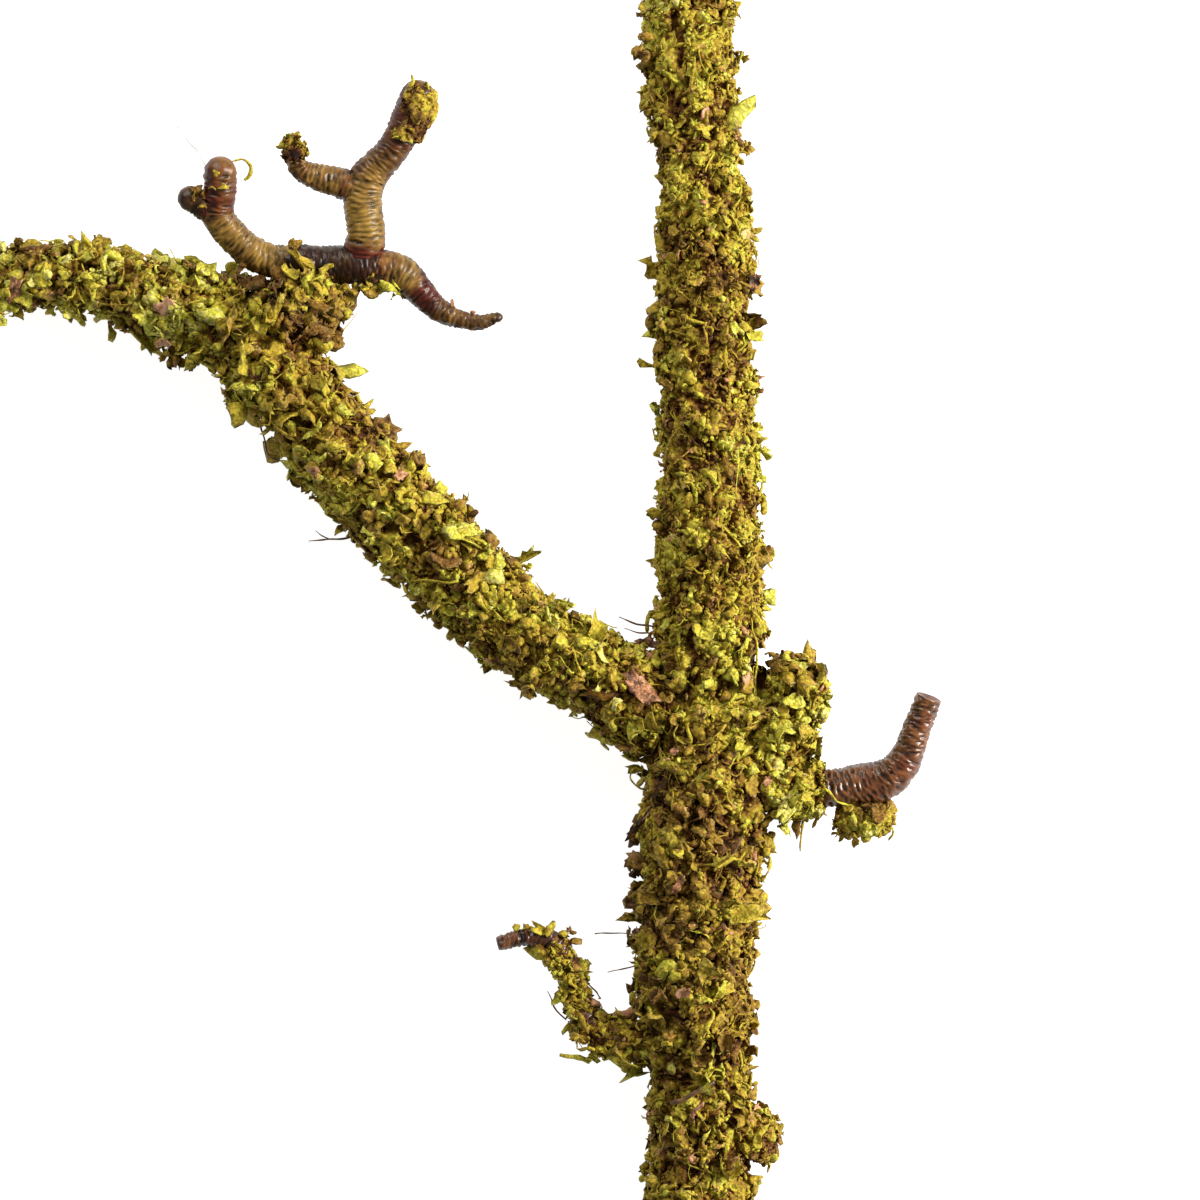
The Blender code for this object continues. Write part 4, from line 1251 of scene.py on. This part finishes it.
FLAKES = (
    (-36.9, 41.9, 11.5, 7.0, 1.4, -45, 0.5),
    (-38.0, 44.8, 10.6, 2.2, 1.6, 60, 0.3),
    (-47.2, 52.8, 15.0, 1.8, 1.3, 30, 0.5),
    (-46.6, 51.0, 14.3, 1.7, 0.7, -20, 0.6),
    (-48.0, 50.9, 14.2, 1.6, 0.6, 15, 0.6),
    (-50.5, 50.7, 12.9, 1.9, 1.3, 120, 0.1),
    (-51.4, 49.4, 12.6, 1.8, 1.2, 200, 0.15),
    (-49.6, 51.0, 12.9, 1.5, 1.0, 60, 0.3),
    (-7.5, -40.6, 10.8, 1.9, 1.3, 150, 0.6),
    (-6.0, -40.3, 11.0, 1.9, 1.3, 60, 0.6),
    (-8.9, -40.7, 10.8, 1.7, 1.1, 170, 0.5),
    (-4.6, -41.4, 11.0, 2.1, 1.4, -50, 0.6),
    (-10.3, -40.5, 10.5, 1.5, 1.0, 150, 0.65),
    (9.0, -58.3, 0, 2.0, 1.5, 60, 0.88),
    (8.6, -64.4, 0, 1.4, 1.0, 10, 0.88),
    (23.7, -12.5, 0, 3.2, 2.9, 100, 0.8),
    (7.5, -45.6, 0, 5.0, 2.8, 30, 0.75),
    (25.0, -31.0, 8.5, 2.2, 1.6, -80, 0.2),
    (-71.0, 45.0, 9.0, 5.0, 1.5, 5, 0.12),
    (-60.6, 43.0, 9.0, 2.2, 2.4, 80, 0.7),
    (-48.4, 40.0, 0, 3.5, 2.5, 10, 0.2),
    (-53.4, 29.6, 7.0, 4.0, 2.0, -60, 0.4),
    (-45.0, 24.6, 8.0, 4.0, 2.5, 200, 0.22),
    (-39.6, 37.3, 0, 3.0, 2.5, 20, 0.65),
    (-38.5, 34.0, 0, 2.4, 2.0, 0, 0.2),
    (-31.9, 31.3, 9.0, 3.2, 2.5, 20, 0.25),
    (-26.5, 39.3, 9.5, 2.0, 1.5, -40, 0.8),
    (-25.6, 37.8, 9.0, 1.8, 1.4, -70, 0.75),
    (-27.2, 38.2, 9.3, 1.8, 1.4, 200, 0.7),
    (-33.7, 39.0, 12.0, 2.4, 1.8, -30, 0.75),
    (-35.4, 20.9, 0, 3.0, 2.2, 45, 0.75),
    (-36.9, 18.4, 0, 2.6, 2.2, 120, 0.75),
    (-40.9, 26.6, 0, 1.8, 1.4, 90, 0.75),
    (-37.5, 15.0, 7.5, 4.0, 1.2, 190, 0.45),
    (7.5, 63.5, 9.0, 1.8, 1.3, 170, 0.75),
    (7.5, 60.4, 9.0, 2.5, 1.6, 200, 0.5),
    (3.7, 70.0, 9.0, 3.6, 1.4, 175, 0.35),
    (3.4, 67.0, 9.0, 3.4, 1.3, 190, 0.4),
    (17.5, 73.4, 9.0, 2.2, 1.4, 50, 0.6),
    (19.1, 51.2, 10.0, 2.4, 1.4, 40, 0.6),
    (17.9, 57.0, 10.0, 1.6, 1.1, 0, 0.15),
    (6.0, 7.0, 10.0, 2.4, 1.6, 200, 0.5),
    (6.3, 9.2, 10.0, 2.6, 1.8, 170, 0.45),
    (5.6, 11.2, 10.0, 2.2, 1.5, 150, 0.6),
)
# Tufts of lobed flakes: plan x, y, z, spread, how many, and tone.
TUFTS = (
    (-28.8, 38.8, 8.6, 1.0, 14, 0.55),
    (-26.4, 38.9, 8.2, 0.7, 9, 0.65),
    (-30.8, 37.8, 8.6, 1.0, 10, 0.5),
    (-24.2, 38.2, 8.0, 0.5, 4, 0.6),
    (-32.0, 31.8, 8.5, 0.8, 8, 0.35),
    (-56.5, 42.3, 9.0, 0.6, 6, 0.4),
    (-50.5, 41.2, 9.0, 0.8, 6, 0.2),
    (-45.5, 39.8, 9.0, 1.0, 9, 0.2),
    (-54.0, 30.5, 7.5, 0.9, 8, 0.45),
    (-46.0, 25.0, 8.0, 0.9, 8, 0.25),
    (-38.2, 15.8, 7.5, 0.7, 5, 0.4),
    (-30.5, 8.8, 7.5, 0.7, 8, 0.3),
    (3.9, -33.2, 8.0, 0.9, 16, 0.2),
    (3.7, -37.2, 8.0, 0.9, 16, 0.2),
    (3.9, -42.2, 8.0, 0.85, 13, 0.15),
    (4.7, -45.2, 8.0, 0.65, 10, 0.25),
    (3.9, -29.2, 8.0, 0.8, 12, 0.25),
    (4.8, -52.2, 8.0, 0.65, 9, 0.2),
    (5.0, -21.5, 8.5, 0.8, 6, 0.5),
    (5.2, -71.0, 8.0, 0.7, 8, 0.5),
    (5.4, 73.0, 9.0, 0.7, 9, 0.4),
    (5.2, 67.5, 9.0, 0.7, 9, 0.35),
    (6.4, 61.5, 9.0, 0.7, 8, 0.45),
    (17.5, 74.0, 9.0, 0.6, 5, 0.6),
    (18.6, 51.4, 9.5, 0.6, 5, 0.6),
    (23.0, -8.6, 10.5, 0.6, 8, 0.7),
    (-38.4, 56.2, 12.7, 0.35, 14, 0.62),
    (-38.3, 57.2, 12.8, 0.35, 11, 0.72),
    (-38.7, 54.8, 12.5, 0.4, 10, 0.5),
    (-50.0, 50.0, 12.3, 0.4, 12, 0.22),
    (-51.0, 50.0, 12.1, 0.4, 9, 0.22),
    (-48.6, 49.3, 12.4, 0.35, 6, 0.35),
)
# Hairs, little roots and twigs as rows of plan x, y, z and radius.
FIBRES = (
    ((-0.6, -41.6, 9.0, 0.08), (1.5, -41.5, 9.3, 0.09), (5.5, -41.8, 9.5, 0.08)),
    ((8.6, 33.9, 9.5, 0.07), (6.6, 35.1, 9.6, 0.06), (5.6, 36.3, 9.7, 0.04)),
    ((6.9, 34.9, 9.6, 0.05), (6.5, 35.7, 9.7, 0.04), (6.3, 36.5, 9.8, 0.03)),
    ((-30.5, 8.0, 7.5, 0.15), (-33.5, 7.6, 7.6, 0.14), (-36.3, 7.3, 7.8, 0.08)),
    ((-33.8, 7.6, 7.6, 0.1), (-34.7, 8.0, 7.7, 0.08), (-35.6, 8.7, 7.8, 0.05)),
    (
        (-42.2, 24.4, 8.0, 0.12),
        (-42.5, 22.9, 7.8, 0.14),
        (-41.6, 18.8, 7.6, 0.12),
        (-40.4, 17.5, 7.5, 0.1),
        (-38.5, 17.3, 7.5, 0.08),
    ),
    ((-4.3, -52.4, 8.0, 0.14), (-5.6, -50.8, 8.1, 0.13), (-6.5, -48.7, 8.2, 0.07)),
    ((5.6, -45.4, 9.0, 0.1), (3.0, -45.9, 9.1, 0.09), (1.0, -46.4, 9.2, 0.05)),
    ((6.8, -3.4, 9.5, 0.14), (4.4, -3.0, 9.6, 0.13), (2.4, -2.2, 9.7, 0.07)),
    ((6.8, -4.2, 9.2, 0.12), (4.9, -4.1, 9.2, 0.1), (3.0, -3.6, 9.3, 0.05)),
    ((-47.8, 52.6, 12.8, 0.04), (-50.8, 56.6, 12.7, 0.04), (-52.5, 58.7, 12.8, 0.03)),
    ((8.8, -62.2, 14.0, 0.32), (11.4, -61.0, 14.6, 0.4), (14.1, -59.5, 14.2, 0.3)),
)
STRANDS = (
    (
        (18.6, -2.2, 11.5, 0.1),
        (19.5, -6.0, 12.0, 0.14),
        (19.2, -10.0, 12.2, 0.15),
        (19.4, -14.8, 11.8, 0.09),
    ),
    (
        (7.5, -22.5, 11.0, 0.12),
        (5.2, -23.4, 11.0, 0.13),
        (3.8, -22.2, 11.2, 0.14),
        (4.2, -20.9, 11.2, 0.13),
        (5.3, -21.2, 11.0, 0.1),
    ),
    (
        (-45.6, 54.3, 12.8, 0.1),
        (-44.2, 54.5, 12.9, 0.14),
        (-43.2, 53.6, 12.9, 0.26),
        (-43.3, 52.5, 12.8, 0.3),
        (-44.0, 51.9, 12.8, 0.14),
    ),
    ((25.3, -27.5, 8.5, 0.2), (25.0, -29.6, 8.5, 0.16), (25.0, -31.4, 8.5, 0.12)),
    ((-1.2, -57.4, 8.0, 0.4), (-3.2, -57.0, 8.0, 0.42), (-5.0, -56.7, 8.0, 0.3)),
)


def settled(place, reach):
    """The place itself, or where it meets a shell that lies reach outside the solids."""
    near, facing, _, gap = SOLIDS.find_nearest(place)
    if gap > reach and (place - near).dot(facing) > 0:
        return near + (place - near) * (reach / gap)
    return place


MIDDLE_HEIGHT = 9 * MM   # near the middle of the wood, where a chip with nothing below it goes
ABOVE_ALL = 0.1          # a height from which rays are sent down on to the twig


def set_down(rng, rows, template, look):
    """Flakes or chips at their own places, sizes, headings and tones."""
    rows = np.array(rows, float)
    places, normals = [], []
    for x, y, z in rows[:, :3]:
        x, y = (x + PLAN_SHIFT[0]) * MM, (y + PLAN_SHIFT[1]) * MM
        place, normal = None, None
        if not z:
            place, normal = SOLIDS.ray_cast(Vector((x, y, ABOVE_ALL)), Vector((0, 0, -1)))[:2]
        places.append(place or settled(Vector((x, y, z * MM or MIDDLE_HEIGHT)), 0.2 * MM))
        normals.append(normal or Vector((0.1, 0, 1)).normalized())
    turn = np.radians(rows[:, 5])
    along = np.stack([np.cos(turn), np.sin(turn), np.zeros(len(rows))], 1)
    normals = np.array(normals)
    along = unit(along - normals * (along * normals).sum(1)[:, None] + normals * 0.1)
    chosen = {"long": rows[:, 3] * MM, "wide": rows[:, 4] * MM, "age": rows[:, 6], "along": along}
    return shape_flakes(rng, template, np.array(places), normals, 0, look, chosen)


def tuft(rng, row, size):
    """One tuft of flakes at its own place."""
    x, y, z, spread, many, tone = row
    middle = settled(Vector((x + PLAN_SHIFT[0], y + PLAN_SHIFT[1], z)) * MM, 0.1 * MM)
    apart = np.clip(rng.normal(0, 1, (many, 3)), -1.2, 1.2) * spread * MM
    places = np.array([settled(middle + Vector(way), 0.8 * MM) for way in apart])
    outward = unit(rng.normal(0, 0.6, (many, 3)) + (0, 0, 0.7))
    look = {**LOBE, "lift": (0.0, 0.15), "reach": 0.1, "ragged": 0.05, "crumple": 0.12}
    chosen = {"age": np.clip(tone + rng.normal(0, 0.12, many), 0, LIVE_AGE)}
    return shape_flakes(rng, LOBE_DISC, places, outward, size, look, chosen)


def thread(rng, rows):
    """One hair or strand along its rows."""
    line, spots = route(rows, 0.25 * MM)
    wobble = np.stack([ripple(line[:, :3], 1.2 * MM, seed) for seed in (51, 52, 53)], -1)
    beads = 1 + 0.25 * ripple(line[:, :3], 0.5 * MM, 54)
    return tubes(rng, line[None, :, :3] + 0.12 * MM * wobble, (line[:, 3] * beads)[None], 0.85, 6)


class TWIG_OT_loose(bpy.types.Operator):
    """Lay the bark chips, single flakes, hairs and strands that cling to the crust"""

    bl_idname = "twig.loose"
    bl_label = "Loose Pieces"

    def execute(self, context):
        rng = np.random.default_rng(SEED + 50)
        bark, crust = context.scene.twig_bark, context.scene.twig_crust
        chips = set_down(rng, CHIPS, CHIP_DISC, CHIP)
        dead_bark = made_once("dead_bark_flaked", chip_material, bark)
        make_piece("bark_chips", press(chips[0]), chips[1], [dead_bark], chips[2])
        single = {**LOBE, "lift": (0.0, 0.3), "tilt": (0.15, 0.2), "roll": 0.4, "reach": 0.0, "dead": 0.0}
        batches = [set_down(rng, FLAKES, CURL_DISC, single)]
        batches += [tuft(rng, row, (0.4 + 1.5 * row[3]) * MM) for row in TUFTS]
        batches += [thread(rng, rows) for rows in STRANDS]
        places, triangles, marks = joined(batches)
        lichen = made_once("dry_lichen_grown", lichen_material, crust)
        make_piece("loose_lichen", press(places), triangles, [lichen], marks)
        places, triangles, _ = joined([thread(rng, rows) for rows in FIBRES])
        fibre = made_once("plant_fibre_dry", hair_material)
        make_piece("loose_fibres", press(places), triangles, [fibre])
        return {"FINISHED"}


class TWIG_OT_wood(bpy.types.Operator):
    """Give the sawn wood of the stem and the branch its grain"""

    bl_idname = "twig.wood"
    bl_label = "Sawn Wood"

    def execute(self, context):
        material = made_once("fruitwood_sawn", wood_material, context.scene.twig_bark)
        for name in ("stem_lower", "stem_upper", "side_branch", "side_branch_end"):
            for slot in NODES[name].material_slots:
                slot.material = material
        return {"FINISHED"}


# ---------------------------------------------------------------- stage


VIEW_HEIGHT = 7 * MM   # height above the floor at which the view is as wide as it is said to be
FLOOR_SPAN = 3.0
SENSOR = 36            # width of the camera's sensor in millimetres

# Each light's place and width in metres, and its colour: a large warm key low on the right that rakes
# over the crust, and a weaker fill on the left.
KEY = {"place": (0.8, 0.15, 0.44), "size": 0.42, "shade": "fffbf4"}
FILL = {"place": (-0.13, 0.28, 0.2), "size": 0.2, "shade": "fffaf2"}


def area_light(name, power, place, size, shade):
    light = bpy.data.lights.new(name, "AREA")
    light.shape = "DISK"
    light.size = size
    light.energy = power
    light.color = linear(shade)
    lamp = bpy.data.objects.new(name, light)
    lamp.location = place
    lamp.rotation_euler = (-Vector(place)).to_track_quat("-Z", "Y").to_euler()
    bpy.context.scene.collection.objects.link(lamp)


class TWIG_OT_stage(bpy.types.Operator):
    """Lay the floor, hang the lights and set the camera over the twig"""

    bl_idname = "twig.stage"
    bl_label = "Stage"

    def execute(self, context):
        stage = context.scene.twig_stage
        half = FLOOR_SPAN / 2
        mesh = bpy.data.meshes.new("floor")
        corners = [(-half, -half, 0), (half, -half, 0), (half, half, 0), (-half, half, 0)]
        mesh.from_pydata(corners, [], [(0, 1, 2, 3)])
        mesh.materials.append(made_once("opal_acrylic_cast", floor_material, stage))
        floor = bpy.data.objects.new("floor", mesh)
        context.scene.collection.objects.link(floor)
        area_light("key_light", stage.key, **KEY)
        area_light("fill_light", stage.fill, **FILL)
        world = bpy.data.worlds.new("studio")
        world.use_nodes = True
        background = world.node_tree.nodes["Background"]
        background.inputs["Color"].default_value = (*linear("ffffff"), 1)
        background.inputs["Strength"].default_value = stage.sky
        context.scene.world = world
        context.scene.view_settings.view_transform = "Standard"
        lens = bpy.data.cameras.new("camera")
        lens.lens = stage.lens
        lens.sensor_width = SENSOR
        shift = PLAN_SHIFT * MM
        camera = bpy.data.objects.new("camera", lens)
        away = stage.view_width * stage.lens / SENSOR
        camera.location = (shift[0], shift[1], VIEW_HEIGHT + away)
        context.scene.collection.objects.link(camera)
        context.scene.camera = camera
        return {"FINISHED"}


class TWIG_PT_panel(bpy.types.Panel):
    """The twig's steps and settings"""

    bl_label = "Lichen Twig"
    bl_idname = "TWIG_PT_panel"
    bl_space_type = "VIEW_3D"
    bl_region_type = "UI"
    bl_category = "Twig"

    def draw(self, context):
        for step in STEPS:
            self.layout.operator(step.bl_idname)
        for group in SETTINGS:
            box = self.layout.box()
            settings = getattr(context.scene, group)
            for name in settings.__annotations__:
                box.prop(settings, name)


STEPS = (TWIG_OT_crust, TWIG_OT_spurs, TWIG_OT_loose, TWIG_OT_wood, TWIG_OT_stage)
SETTINGS = {"twig_crust": CrustSettings, "twig_bark": BarkSettings, "twig_stage": StageSettings}


def register():
    for item in (*SETTINGS.values(), *STEPS, TWIG_PT_panel):
        bpy.utils.register_class(item)
    for name, group in SETTINGS.items():
        setattr(bpy.types.Scene, name, bpy.props.PointerProperty(type=group))


def unregister():
    for name in SETTINGS:
        delattr(bpy.types.Scene, name)
    for item in reversed((*SETTINGS.values(), *STEPS, TWIG_PT_panel)):
        bpy.utils.unregister_class(item)


def main():
    register()
    for step in STEPS:
        group, action = step.bl_idname.split(".")
        getattr(getattr(bpy.ops, group), action)()


if __name__ == "__main__":
    main()
